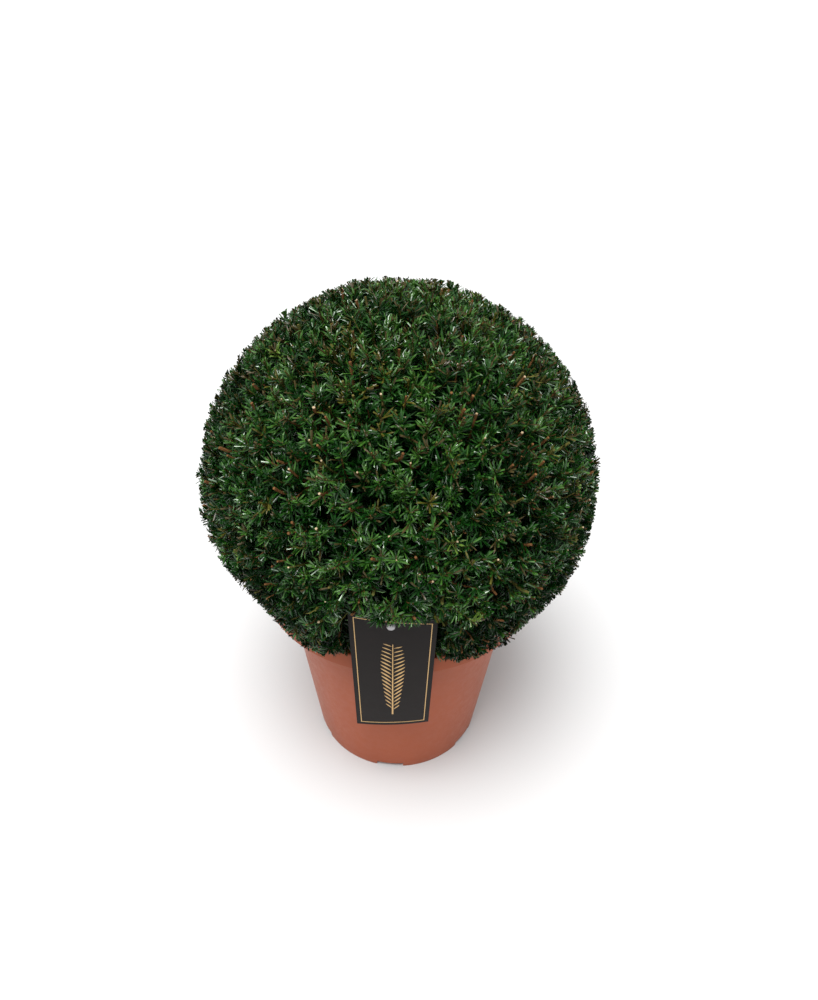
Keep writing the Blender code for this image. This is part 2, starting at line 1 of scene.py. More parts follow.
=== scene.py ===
"""Potted english yew ball: the looks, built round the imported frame.

A clipped ball of dark needles on its own stem and boughs stands in a terracotta-coloured nursery
pot, with a thin charcoal label in front. Units are metres, +Z is up and -Y is the front.
"""

import json
import logging
import math
from dataclasses import dataclass, field
from enum import Enum

import bmesh
import bpy
import numpy as np
from bpy.types import Collection, Material, Mesh, Node, NodeSocket, NodeTree, Object
from mathutils import Matrix, Vector, noise

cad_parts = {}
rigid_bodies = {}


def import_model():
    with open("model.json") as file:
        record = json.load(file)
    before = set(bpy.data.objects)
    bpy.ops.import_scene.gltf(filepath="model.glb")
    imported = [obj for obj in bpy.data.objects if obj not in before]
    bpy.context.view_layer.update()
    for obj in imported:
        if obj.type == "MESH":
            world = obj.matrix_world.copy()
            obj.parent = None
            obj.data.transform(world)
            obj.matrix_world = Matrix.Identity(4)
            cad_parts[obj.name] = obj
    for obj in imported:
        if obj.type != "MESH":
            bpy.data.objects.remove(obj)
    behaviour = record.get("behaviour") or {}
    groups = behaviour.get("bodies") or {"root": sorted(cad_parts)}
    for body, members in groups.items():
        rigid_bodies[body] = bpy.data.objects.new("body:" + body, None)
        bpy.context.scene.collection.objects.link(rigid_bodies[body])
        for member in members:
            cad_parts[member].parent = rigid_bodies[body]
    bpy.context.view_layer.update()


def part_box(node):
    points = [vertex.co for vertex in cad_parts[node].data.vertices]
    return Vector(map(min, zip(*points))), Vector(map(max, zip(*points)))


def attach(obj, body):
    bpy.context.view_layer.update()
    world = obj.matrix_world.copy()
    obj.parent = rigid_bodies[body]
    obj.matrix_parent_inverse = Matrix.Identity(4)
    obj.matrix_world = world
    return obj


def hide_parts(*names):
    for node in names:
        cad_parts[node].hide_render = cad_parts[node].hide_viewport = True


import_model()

LOG = logging.getLogger("yew_ball")
BODY = "root"
GOLDEN_ANGLE = math.pi * (3.0 - math.sqrt(5.0))
FULL_TURN = 2.0 * math.pi
POLE_RADIUS = 1e-9
LEAST_LENGTH = 1e-12
SIDE_HINT = (0.0, 1.0, 0.15)
DRILL_SIDES = 32
CROWN_LOWEST = -0.62
ARC_STEPS = 5
POINT_DATA = {"at_size": "FLOAT_VECTOR", "at_turn": "QUATERNION", "at_form": "INT", "at_thick": "FLOAT"}

Array = np.ndarray
Pair = tuple[float, float]
Triple = tuple[float, float, float]
Octaves = tuple[float, float, int]
Colour = Triple
Profile = list[Pair]
Outline = list[Triple]


class Slot(Enum):
    """The record's material slots."""

    POT = "pot_plastic"
    SOIL = "growing_medium"
    BARK = "bark"
    FOLIAGE = "foliage"
    CARD = "label_card"
    BUTTON = "fastener_plastic"


class Tint(Enum):
    """The greens and browns that the needles are dealt out in, by spray. The darkest, near black, is
    painted shade for the crown's inside and its darkest needles.
    """

    # Near black: painted shade, darker than any real needle.
    SHADE = "shade"
    DEEP = "deep"
    LEAF = "leaf"
    BRIGHT = "bright"
    OLIVE = "olive"
    FRESH = "fresh"
    BROWN = "brown"

    @property
    def place(self) -> int:
        """Its place in the list of tints."""
        return list(Tint).index(self)


# Node trees


def toned(colour: Colour, share: float) -> Colour:
    """A colour brought to a share of its strength."""
    return tuple(channel * share for channel in colour)


class NodeBench:
    """A node tree with short calls for adding nodes and spreading values."""

    def __init__(self, tree: NodeTree) -> None:
        """Work on a tree."""
        self.tree = tree

    def add(self, kind: str, feeds: dict[str | int, object], **settings: object) -> Node:
        """Add a node and feed its inputs.

        Args:
            kind: The node's type name.
            feeds: A socket or a plain value for each input that is set, by name or number.
            settings: Properties of the node itself.

        Returns:
            The new node.
        """
        node = self.tree.nodes.new(kind)
        for title, value in settings.items():
            setattr(node, title, value)
        for title, value in feeds.items():
            named = (item for item in node.inputs if item.name == title and item.enabled)
            socket = node.inputs[title] if isinstance(title, int) else next(named)
            if isinstance(value, NodeSocket):
                self.tree.links.new(value, socket)
            else:
                socket.default_value = value
        return node

    def spread(self, value: NodeSocket, source: Pair, target: Pair = (0.0, 1.0)) -> NodeSocket:
        """Carry a value from one range to another, clamped.

        Args:
            value: Socket to read.
            source: Its range.
            target: The range wanted.

        Returns:
            The mapped value socket.
        """
        feeds = dict(enumerate((value, *source, *target)))
        return self.add("ShaderNodeMapRange", feeds).outputs["Result"]


class ShaderBench(NodeBench):
    """A material's node tree with short calls for the nodes that the finishes share."""

    def __init__(self, name: str) -> None:
        """Start a material with its Principled shader.

        Args:
            name: Name of the material.
        """
        self.material = bpy.data.materials.new(name)
        self.material.use_nodes = True
        super().__init__(self.material.node_tree)
        self.shader = self.tree.nodes["Principled BSDF"]
        self.place = self.add("ShaderNodeTexCoord", {}).outputs["Object"]

    def stretched(self, scale: Triple) -> NodeSocket:
        """The object's coordinates, scaled apart along the three axes.

        Args:
            scale: Factor along each axis.

        Returns:
            The vector socket to read a pattern at.
        """
        mapping = self.add("ShaderNodeMapping", {"Vector": self.place, "Scale": scale})
        return mapping.outputs["Vector"]

    def cloud(self, scale: float, detail: float = 4.0, place: NodeSocket | None = None,
              roughness: float = 0.55) -> NodeSocket:
        """A soft noise from 0 to 1.

        Args:
            scale: Waves per metre.
            detail: Octaves.
            place: Coordinates to read, or None for the object's own.
            roughness: Weight of the finer octaves.

        Returns:
            The noise's value socket.
        """
        feeds = {"Vector": place or self.place, "Scale": scale, "Detail": detail, "Roughness": roughness}
        return self.add("ShaderNodeTexNoise", feeds).outputs["Fac"]

    def cells(self, scale: float) -> NodeSocket:
        """Distance to the nearest cell centre of a Voronoi pattern.

        Args:
            scale: Cells per metre.

        Returns:
            The distance socket.
        """
        texture = self.add("ShaderNodeTexVoronoi", {"Vector": self.place, "Scale": scale})
        return texture.outputs["Distance"]

    def blend(self, amount: NodeSocket, first: "Colour | NodeSocket",
              second: "Colour | NodeSocket") -> NodeSocket:
        """Mix two colours by an amount.

        Args:
            amount: 0 gives the first colour and 1 the second.
            first: Colour or colour socket.
            second: Colour or colour socket.

        Returns:
            The mixed colour socket.
        """
        low, high = ((*colour, 1.0) if isinstance(colour, tuple) else colour for colour in (first, second))
        mix = self.add("ShaderNodeMix", {0: amount, 6: low, 7: high}, data_type="RGBA")
        return mix.outputs[2]

    def relief(self, height: NodeSocket, distance: float, strength: float) -> None:
        """Bump the surface, over any relief that it has.

        Args:
            height: Height from 0 to 1.
            distance: Depth of the relief in metres.
            strength: Share of it that shows.
        """
        feeds = {"Height": height, "Distance": distance, "Strength": strength}
        normal = self.shader.inputs["Normal"]
        if normal.is_linked:
            feeds["Normal"] = normal.links[0].from_socket
        self.wire("Normal", self.add("ShaderNodeBump", feeds).outputs["Normal"])

    def wire(self, name: str, value: NodeSocket) -> None:
        """Link a value to one of the shader's inputs."""
        self.tree.links.new(value, self.shader.inputs[name])

    def fix(self, **values: float) -> None:
        """Set numbers on the shader's own sockets, with underscores for spaces."""
        for name, value in values.items():
            self.shader.inputs[name.replace("_", " ")].default_value = value


class GeometryRecipe(NodeBench):
    """A geometry node tree written in code, with named inputs, that ends in plain meshes."""

    def __init__(self, name: str, inputs: dict[str, str]) -> None:
        """Start the tree.

        Args:
            name: Name of the tree.
            inputs: Socket type for each named input.
        """
        super().__init__(bpy.data.node_groups.new(name, "GeometryNodeTree"))
        face = self.tree.interface
        face.new_socket("Geometry", in_out="INPUT", socket_type="NodeSocketGeometry")
        for title, kind in inputs.items():
            face.new_socket(title, in_out="INPUT", socket_type=kind)
        face.new_socket("Material", in_out="INPUT", socket_type="NodeSocketMaterial")
        face.new_socket("Geometry", in_out="OUTPUT", socket_type="NodeSocketGeometry")
        self.source = self.add("NodeGroupInput", {}).outputs

    def attribute(self, name: str) -> NodeSocket:
        """The socket of an attribute that the points carry."""
        node = self.add("GeometryNodeInputNamedAttribute", {"Name": name}, data_type=POINT_DATA[name])
        return next(item for item in node.outputs if item.enabled)

    def scatter(self, title: str, turn: NodeSocket, points: NodeSocket | None = None) -> None:
        """Set the object that comes in under a name on points, and end the tree.

        Args:
            title: Name of the input that holds the object.
            turn: Rotation at each point.
            points: The points, or None for those that come in, which carry a size.
        """
        shape = self.add("GeometryNodeObjectInfo", {"Object": self.source[title]}).outputs["Geometry"]
        feeds = {"Points": points or self.source["Geometry"], "Instance": shape, "Rotation": turn}
        if points is None:
            feeds["Scale"] = self.attribute("at_size")
        self.finish(self.add("GeometryNodeInstanceOnPoints", feeds).outputs[0])

    def finish(self, geometry: NodeSocket) -> None:
        """End the tree in realized instances with the material set.

        Args:
            geometry: What the tree has made so far.
        """
        real = self.add("GeometryNodeRealizeInstances", {"Geometry": geometry})
        feeds = {"Geometry": real.outputs[0], "Material": self.source["Material"]}
        self.add("NodeGroupOutput", {0: self.add("GeometryNodeSetMaterial", feeds).outputs[0]})

    def make(self, name: str, mesh: Mesh, values: dict[str, object]) -> Object:
        """Run the tree on a mesh, keep a plain mesh, and remove the objects that went in.

        Args:
            name: Name of the piece.
            mesh: The geometry that goes in.
            values: A value for each named input.

        Returns:
            The finished object, with no modifier.
        """
        source = bpy.data.objects.new(name + "_source", mesh)
        modifier = source.modifiers.new("Recipe", "NODES")
        modifier.node_group = self.tree
        names = {item.name: item.identifier for item in self.tree.interface.items_tree
                 if item.in_out == "INPUT"}
        for title, value in values.items():
            modifier[names[title]] = value
        bpy.context.scene.collection.objects.link(source)
        result = evaluated(source)
        source.modifiers.remove(modifier)
        remove(source, *(value for value in values.values() if isinstance(value, Object)))
        for title in [item.name for item in result.attributes if item.name in POINT_DATA]:
            result.attributes.remove(result.attributes[title])
        return show(name, result)


# Meshes


def show(name: str, mesh: Mesh) -> Object:
    """Put a mesh in the scene under a name.

    Args:
        name: Name of the object and its mesh.
        mesh: The mesh.

    Returns:
        The new object.
    """
    mesh.name = name
    made = bpy.data.objects.new(name, mesh)
    bpy.context.scene.collection.objects.link(made)
    return made


def remove(*spent: Object) -> None:
    """Remove objects that were only needed to make others."""
    for item in spent:
        bpy.data.objects.remove(item, do_unlink=True)


def evaluated(source: Object) -> Mesh:
    """A plain mesh of an object in the scene, as its modifiers leave it."""
    bpy.context.view_layer.update()
    return bpy.data.meshes.new_from_object(source.evaluated_get(bpy.context.evaluated_depsgraph_get()))


def settled(bm: bmesh.types.BMesh, name: str) -> Mesh:
    """Turn an edit mesh into a mesh and free it.

    Args:
        bm: The edit mesh.
        name: Name of the mesh.

    Returns:
        The mesh.
    """
    mesh = bpy.data.meshes.new(name)
    bm.to_mesh(mesh)
    bm.free()
    return mesh


def face_outwards(mesh: Mesh) -> None:
    """Turn the faces of a closed mesh outwards.

    Args:
        mesh: The mesh, which is changed in place.
    """
    bm = bmesh.new()
    bm.from_mesh(mesh)
    bmesh.ops.recalc_face_normals(bm, faces=bm.faces)
    bm.to_mesh(mesh)
    bm.free()


def add_drill(bm: bmesh.types.BMesh, radius: float, depth: float, place: Matrix) -> None:
    """Add a round drill that stands at a place to a cutter's edit mesh."""
    bmesh.ops.create_cone(bm, cap_ends=True, segments=DRILL_SIDES, radius1=radius, radius2=radius,
                          depth=depth, matrix=place)


def cut_away(body: Object, cutter: Object) -> Mesh:
    """Take a cutter out of a body, after the modifiers that it has, and remove both.

    Args:
        body: What is cut.
        cutter: What it is cut with.

    Returns:
        The mesh that is left.
    """
    cut = body.modifiers.new("Cut", "BOOLEAN")
    cut.operation = "DIFFERENCE"
    cut.object = cutter
    mesh = evaluated(body)
    remove(body, cutter)
    return mesh


def mesh_from(name: str, vertices: Array | Outline, faces: list[tuple[int, ...]]) -> Mesh:
    """A closed mesh with its faces turned outwards.

    Args:
        name: Name of the mesh.
        vertices: Points, one row each.
        faces: Corner numbers of each face.

    Returns:
        The mesh.
    """
    mesh = bpy.data.meshes.new(name)
    mesh.from_pydata([tuple(point) for point in vertices], [], faces)
    face_outwards(mesh)
    return mesh


def prism(name: str, near: Outline, far: Outline) -> Object:
    """A closed prism between two outlines, as an object to set on points.

    Args:
        name: Name of the object and its mesh.
        near: Corners of one end.
        far: Corners of the other, in the same order.

    Returns:
        The object, which isn't in the scene.
    """
    count = len(near)
    faces = [tuple(range(count)), tuple(range(count, 2 * count))]
    faces += [(k, (k + 1) % count, count + (k + 1) % count, count + k) for k in range(count)]
    return bpy.data.objects.new(name, mesh_from(name, near + far, faces))


def point_mesh(name: str, points: Array, **attributes: Array) -> Mesh:
    """Loose points with attributes for a geometry tree to read.

    Args:
        name: Name of the mesh.
        points: One row each.
        attributes: Numbers for each point, by name.

    Returns:
        The mesh.
    """
    mesh = bpy.data.meshes.new(name)
    mesh.vertices.add(len(points))
    mesh.vertices.foreach_set("co", np.ascontiguousarray(points, np.float32).ravel())
    for title, values in attributes.items():
        kind = POINT_DATA[title]
        flat = np.ascontiguousarray(values, np.int32 if kind == "INT" else np.float32).ravel()
        data = mesh.attributes.new(title, kind, "POINT").data
        data.foreach_set("vector" if kind == "FLOAT_VECTOR" else "value", flat)
    return mesh


def turned(name: str, profile: Profile, steps: int) -> Mesh:
    """Turn a half section about the vertical axis into a closed shell.

    Args:
        name: Name of the mesh.
        profile: Points of (radius, height). Both ends lie on the axis.
        steps: Points round each ring.

    Returns:
        The mesh.
    """
    angles = np.arange(steps) * FULL_TURN / steps
    ring = np.stack([np.cos(angles), np.sin(angles)], axis=1)
    vertices, starts = [], []
    for radius, height in profile:
        starts.append(len(vertices))
        if radius < POLE_RADIUS:
            vertices.append((0.0, 0.0, height))
        else:
            vertices.extend((radius * x, radius * y, height) for x, y in ring)
    faces = []
    for index in range(len(profile) - 1):
        here, there = starts[index], starts[index + 1]
        pole_here = profile[index][0] < POLE_RADIUS
        pole_there = profile[index + 1][0] < POLE_RADIUS
        for step in range(steps):
            after = (step + 1) % steps
            if pole_here:
                faces.append((here, there + step, there + after))
            elif pole_there:
                faces.append((here + step, there, here + after))
            else:
                faces.append((here + step, there + step, there + after, here + after))
    return mesh_from(name, vertices, faces)


def rounded(corners: list[Triple]) -> Profile:
    """A profile whose corners are rounded off by arcs.

    Args:
        corners: Points of (radius, height, bend), where bend is the distance from the corner at
            which its arc starts.

    Returns:
        The points of the profile.
    """
    points: Profile = []
    for index, (radius, height, bend) in enumerate(corners):
        here = Vector((radius, height))
        if bend == 0.0:
            points.append((radius, height))
            continue
        before = Vector(corners[index - 1][:2])
        after = Vector(corners[index + 1][:2])
        start = here + (before - here).normalized() * bend
        end = here + (after - here).normalized() * bend
        for step in range(ARC_STEPS + 1):
            share = step / ARC_STEPS
            point = start.lerp(here, share).lerp(here.lerp(end, share), share)
            points.append((point.x, point.y))
    return points


def tube_mesh(name: str, rings: Array) -> Mesh:
    """A closed tube over rings of points.

    Args:
        name: Name of the mesh.
        rings: Array of ring, point and coordinate.

    Returns:
        The mesh.
    """
    count, sides = rings.shape[:2]
    faces = []
    for ring in range(count - 1):
        for side in range(sides):
            after = (side + 1) % sides
            low, high = ring * sides, (ring + 1) * sides
            faces.append((low + side, low + after, high + after, high + side))
    faces.append(tuple(range(sides)))
    faces.append(tuple(range((count - 1) * sides, count * sides)))
    return mesh_from(name, rings.reshape(-1, 3), faces)


def frame_along(points: Array) -> tuple[Array, Array]:
    """Two directions across a line at each of its points, with little twist.

    Args:
        points: The line's points.

    Returns:
        The two directions, one row for each point.
    """
    ways = unit(np.gradient(points, axis=0))
    side = unit(np.cross(ways, SIDE_HINT))
    return side, np.cross(ways, side)


def unit(vectors: Array) -> Array:
    """Vectors, one row each, brought to length 1."""
    return vectors / np.maximum(np.linalg.norm(vectors, axis=-1, keepdims=True), LEAST_LENGTH)


def lattice(count: int, lowest: float) -> Array:
    """Even directions down a golden spiral.

    Args:
        count: Number of directions.
        lowest: Height of the last one on a ball of radius 1.

    Returns:
        Unit vectors, one row each.
    """
    index = np.arange(count)
    height = 1.0 - (index + 0.5) / count * (1.0 - lowest)
    ring = np.sqrt(1.0 - height * height)
    turn = index * GOLDEN_ANGLE
    return np.stack([ring * np.cos(turn), ring * np.sin(turn), height], axis=1)


def quaternions(right: Array, up: Array, ahead: Array) -> Array:
    """Rotations that carry X, Y and Z to three directions at right angles.

    Args:
        right: Where X goes, one row each.
        up: Where Y goes.
        ahead: Where Z goes.

    Returns:
        Quaternions as w, x, y, z.
    """
    signs = ((1, 1, 1), (1, -1, -1), (-1, 1, -1), (-1, -1, 1))
    squares = [1.0 + a * right[:, 0] + b * up[:, 1] + c * ahead[:, 2] for a, b, c in signs]
    w, x, y, z = np.sqrt(np.maximum(0.0, squares)) * 0.5
    x = np.copysign(x, up[:, 2] - ahead[:, 1])
    y = np.copysign(y, ahead[:, 0] - right[:, 2])
    z = np.copysign(z, right[:, 1] - up[:, 0])
    return np.stack([w, x, y, z], axis=1)


def hand_over(piece: Object, node: str, smooth: float | None = 35.0) -> None:
    """Make a finished piece part of the object and report it.

    Args:
        piece: The piece, with its place in its mesh.
        node: The CAD node that it stands for.
        smooth: Angle in degrees above which edges stay sharp, or None for flat faces.
    """
    if smooth is not None:
        piece.data.shade_smooth()
        piece.data.set_sharp_from_angle(angle=math.radians(smooth))
    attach(piece, BODY)
    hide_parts(node)
    triangles = sum(len(face.vertices) - 2 for face in piece.data.polygons)
    LOG.info("%s: %d triangles, for %s", piece.name, triangles, node)


# Finishes


@dataclass(frozen=True)
class MouldedPlastic:
    """Satin moulded plastic with cloudy colour, fine grain and scuffs."""

    name: str
    colour: Colour
    worn: Colour
    gloss: Pair = (0.34, 0.52)
    shine: float = 0.2
    shade: float = 0.93
    cloud_waves: float = 26.0
    scuff_waves: float = 150.0
    grain_waves: float = 2600.0
    grain_depth: float = 0.00006
    dent_waves: float = 34.0
    dent_depth: float = 0.0006
    streaks: Triple = (1.0, 1.0, 0.25)

    def material(self) -> Material:
        """Make the finish.

        Returns:
            The material.
        """
        bench = ShaderBench(self.name)
        flow = bench.cloud(self.cloud_waves, place=bench.stretched(self.streaks))
        scuff = bench.cloud(self.scuff_waves, 6.0, roughness=0.7)
        darker = toned(self.colour, self.shade)
        base = bench.blend(bench.spread(flow, (0.35, 0.65)), darker, self.colour)
        wear = bench.spread(scuff, (0.60, 0.78), (0.0, 0.55))
        bench.wire("Base Color", bench.blend(wear, base, self.worn))
        bench.wire("Roughness", bench.spread(scuff, (0.3, 0.75), self.gloss))
        bench.relief(bench.cloud(self.grain_waves, 2.0), self.grain_depth, 0.5)
        bench.relief(bench.cloud(self.dent_waves, 2.0), self.dent_depth, 0.35)
        bench.fix(Specular_IOR_Level=self.shine)
        return bench.material


@dataclass(frozen=True)
class Peat:
    """Moist peat and composted bark."""

    name: str
    colour: Colour
    crumb: Colour
    grit_waves: float = 420.0
    clod_waves: float = 700.0
    clod_depth: float = 0.0012

    def material(self) -> Material:
        """Make the finish.

        Returns:
            The material.
        """
        bench = ShaderBench(self.name)
        grit = bench.cloud(self.grit_waves, 6.0, roughness=0.7)
        pale = bench.spread(grit, (0.4, 0.66))
        bench.wire("Base Color", bench.blend(pale, self.colour, self.crumb))
        bench.wire("Roughness", bench.spread(grit, (0.3, 0.7), (0.98, 0.72)))
        bench.relief(bench.cells(self.clod_waves), self.clod_depth, 0.7)
        return bench.material


@dataclass(frozen=True)
class YewBark:
    """Thin flaking bark with long shreds, reddish where a flake has come off."""

    name: str
    colour: Colour
    flake: Colour
    shreds: float = 260.0
    shine: float = 0.4
    shred_depth: float = 0.0008
    grain: Triple = (1.0, 1.0, 0.22)

    def material(self) -> Material:
        """Make the finish.

        Returns:
            The material.
        """
        bench = ShaderBench(self.name)
        shred = bench.cloud(self.shreds, 6.0, bench.stretched(self.grain), 0.65)
        flaked = bench.spread(shred, (0.42, 0.6))
        bench.wire("Base Color", bench.blend(flaked, self.colour, self.flake))
        bench.wire("Roughness", bench.spread(shred, (0.3, 0.7), (0.92, 0.68)))
        bench.relief(shred, self.shred_depth, 0.8)
        bench.fix(Specular_IOR_Level=self.shine)
        return bench.material


@dataclass(frozen=True)
class NeedleGreen:
    """Leathery needles in one base colour, with a faint drift of tone and a waxy gloss."""

    name: str
    colour: Colour
    shine: float
    drift: float = 0.30
    drift_waves: float = 190.0
    gloss: Pair = (0.21, 0.36)

    def material(self) -> Material:
        """Make the finish.

        Returns:
            The material.
        """
        bench = ShaderBench(self.name)
        tone = bench.cloud(self.drift_waves, 3.0)
        low = toned(self.colour, 1.0 - self.drift)
        high = toned(self.colour, 1.0 + self.drift)
        bench.wire("Base Color", bench.blend(bench.spread(tone, (0.32, 0.68)), low, high))
        bench.wire("Roughness", bench.spread(tone, (0.3, 0.7), self.gloss))
        bench.fix(Specular_IOR_Level=self.shine)
        return bench.material


@dataclass(frozen=True)
class PrintedCard:
    """Semi-gloss printed plastic card with faint scuffs."""

    name: str
    colour: Colour
    scuffed: Colour
    gloss: Pair = (0.30, 0.46)
    metal: float = 0.0
    shine: float = 0.5
    scuff_waves: float = 210.0
    dent_waves: float = 60.0
    dent_depth: float = 0.0004

    def material(self) -> Material:
        """Make the finish.

        Returns:
            The material.
        """
        bench = ShaderBench(self.name)
        scuff = bench.cloud(self.scuff_waves, 7.0, roughness=0.75)
        wear = bench.spread(scuff, (0.52, 0.80), (0.0, 0.6))
        bench.wire("Base Color", bench.blend(wear, self.colour, self.scuffed))
        bench.wire("Roughness", bench.spread(scuff, (0.3, 0.7), self.gloss))
        bench.relief(bench.cloud(self.dent_waves, 2.0), self.dent_depth, 0.3)
        bench.fix(Metallic=self.metal, Specular_IOR_Level=self.shine)
        return bench.material


# Pot and growing medium


@dataclass
class NurseryPot:
    """The pot: a turned shell with a wide turned-down rim, foot notches, drains and rim gussets."""

    foot_radius: float = 0.085
    wall: float = 0.0024
    rim_low: float = 0.1936
    wall_radius_at_rim: float = 0.1093
    rim_draft: float = 0.0015
    foot_width: float = 0.0055
    foot_recess: float = 0.0062
    bend: float = 0.0016
    wall_rings: tuple[float, ...] = (0.85, 0.7, 0.55, 0.4, 0.27, 0.16, 0.09, 0.05)
    steps: int = 192
    notch_count: int = 6
    notch_size: Pair = (0.027, 0.0056)
    notch_turn: float = math.radians(-4.0)
    drain_radius: float = 0.006
    drain_circle: float = 0.058
    gusset_count: int = 36
    gusset_thickness: float = 0.0012
    gusset_bite: float = 0.8
    gusset_lift: float = 1.2
    gusset_root: float = 0.3
    gusset_toe: Triple = (0.62, 0.002, 0.004)
    finish: MouldedPlastic = MouldedPlastic(
        "terracotta_plastic", (0.378, 0.089, 0.035), (0.415, 0.115, 0.052))
    rim_radius: float = field(init=False)
    height: float = field(init=False)

    def __post_init__(self) -> None:
        """Read the rim's radius and height from the frame."""
        _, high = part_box("pot")
        self.rim_radius = high.x
        self.height = high.z

    def wall_radius(self, height: float) -> float:
        """Outer radius of the straight wall at a height.

        Args:
            height: Height above the ground.

        Returns:
            The radius.
        """
        return self.foot_radius + (self.wall_radius_at_rim - self.foot_radius) * height / self.rim_low

    def profile(self) -> Profile:
        """Half section, from the middle of the floor, up inside and down outside.

        Returns:
            Points of (radius, height).
        """
        floor = self.foot_recess + self.wall
        rim_top = self.rim_radius - self.rim_draft
        under = self.height - self.wall
        bend = self.bend
        inner_foot = self.foot_radius - self.foot_width
        heights = [self.height * share for share in self.wall_rings]
        rings = [(self.wall_radius(height), height, 0.0) for height in heights]
        return rounded([
            (0.0, floor, 0.0),
            (self.wall_radius(floor) - self.wall, floor, bend * 1.8),
            (self.wall_radius(self.height) - self.wall, self.height, bend),
            (rim_top, self.height, bend),
            (self.rim_radius, self.rim_low, bend * 0.5),
            (self.rim_radius - self.wall, self.rim_low, bend * 0.5),
            (rim_top - self.wall, under, bend * 0.7),
            (self.wall_radius(under), under, bend * 0.7),
            *rings,
            (self.foot_radius, 0.0, bend * 0.5),
            (inner_foot, 0.0, bend * 0.3),
            (inner_foot, self.foot_recess, bend * 0.5),
            (0.0, self.foot_recess, 0.0),
        ])

    def cutter(self) -> Object:
        """Notches through the foot ring and drain holes through the floor behind them.

        Returns:
            The cutter.
        """
        bm = bmesh.new()
        width, height = self.notch_size
        for index in range(self.notch_count):
            turn = Matrix.Rotation(self.notch_turn + index * FULL_TURN / self.notch_count, 4, "Z")
            size = Matrix.Diagonal((width, self.foot_width * 3.0, height * 2.0, 1.0))
            front = Matrix.Translation((0.0, -self.foot_radius, 0.0))
            bmesh.ops.create_cube(bm, size=1.0, matrix=turn @ front @ size)
            middle = Matrix.Translation((0.0, -self.drain_circle, self.foot_recess + self.wall * 0.5))
            add_drill(bm, self.drain_radius, self.wall * 3.0, turn @ middle)
        return show("foot_cutter", settled(bm, "foot_cutter"))

    def shell(self) -> Object:
        """The turned shell with its notches and drains cut."""
        pot = show("pot_shell_raw", turned("pot_shell_raw", self.profile(), self.steps))
        return show("pot_shell", cut_away(pot, self.cutter()))

    def gussets(self, material: Material) -> Object:
        """Small stiffening webs under the rim, set round the wall by a geometry tree.

        Args:
            material: The pot's finish.

        Returns:
            The piece.
        """
        top = self.height - self.wall * self.gusset_bite
        low = self.rim_low + self.wall * self.gusset_lift
        inner = self.wall_radius(low) - self.wall * self.gusset_root
        outer = self.rim_radius - self.wall * self.gusset_bite
        half = self.gusset_thickness * 0.5
        toe, rise, heel = self.gusset_toe
        outline = [(inner, top), (outer - self.rim_draft, top), (outer, low),
                   (inner + (outer - inner) * toe, low + rise), (inner, low - heel)]
        web = prism("rim_web", [(x, -half, z) for x, z in outline], [(x, half, z) for x, z in outline])
        recipe = GeometryRecipe("rim_gussets", {"Count": "NodeSocketInt", "Web": "NodeSocketObject"})
        count = recipe.source["Count"]
        line = recipe.add("GeometryNodeMeshLine", {"Count": count, "Offset": (0.0, 0.0, 0.0)})
        number = recipe.add("GeometryNodeInputIndex", {})
        share = recipe.add("ShaderNodeMath", {0: number.outputs[0], 1: count}, operation="DIVIDE")
        angle = recipe.add("ShaderNodeMath", {0: share.outputs[0], 1: FULL_TURN}, operation="MULTIPLY")
        feeds = {"Axis": (0.0, 0.0, 1.0), "Angle": angle.outputs[0]}
        turn = recipe.add("FunctionNodeAxisAngleToRotation", feeds)
        recipe.scatter("Web", turn.outputs[0], line.outputs[0])
        values = {"Count": self.gusset_count, "Web": web, "Material": material}
        return recipe.make("pot_rim_gussets", bpy.data.meshes.new("rim_start"), values)

    def build(self) -> None:
        """Make the pot and hand it over."""
        material = self.finish.material()
        shell = self.shell()
        shell.data.materials.clear()
        shell.data.materials.append(material)
        hand_over(shell, "pot")
        hand_over(self.gussets(material), "pot")


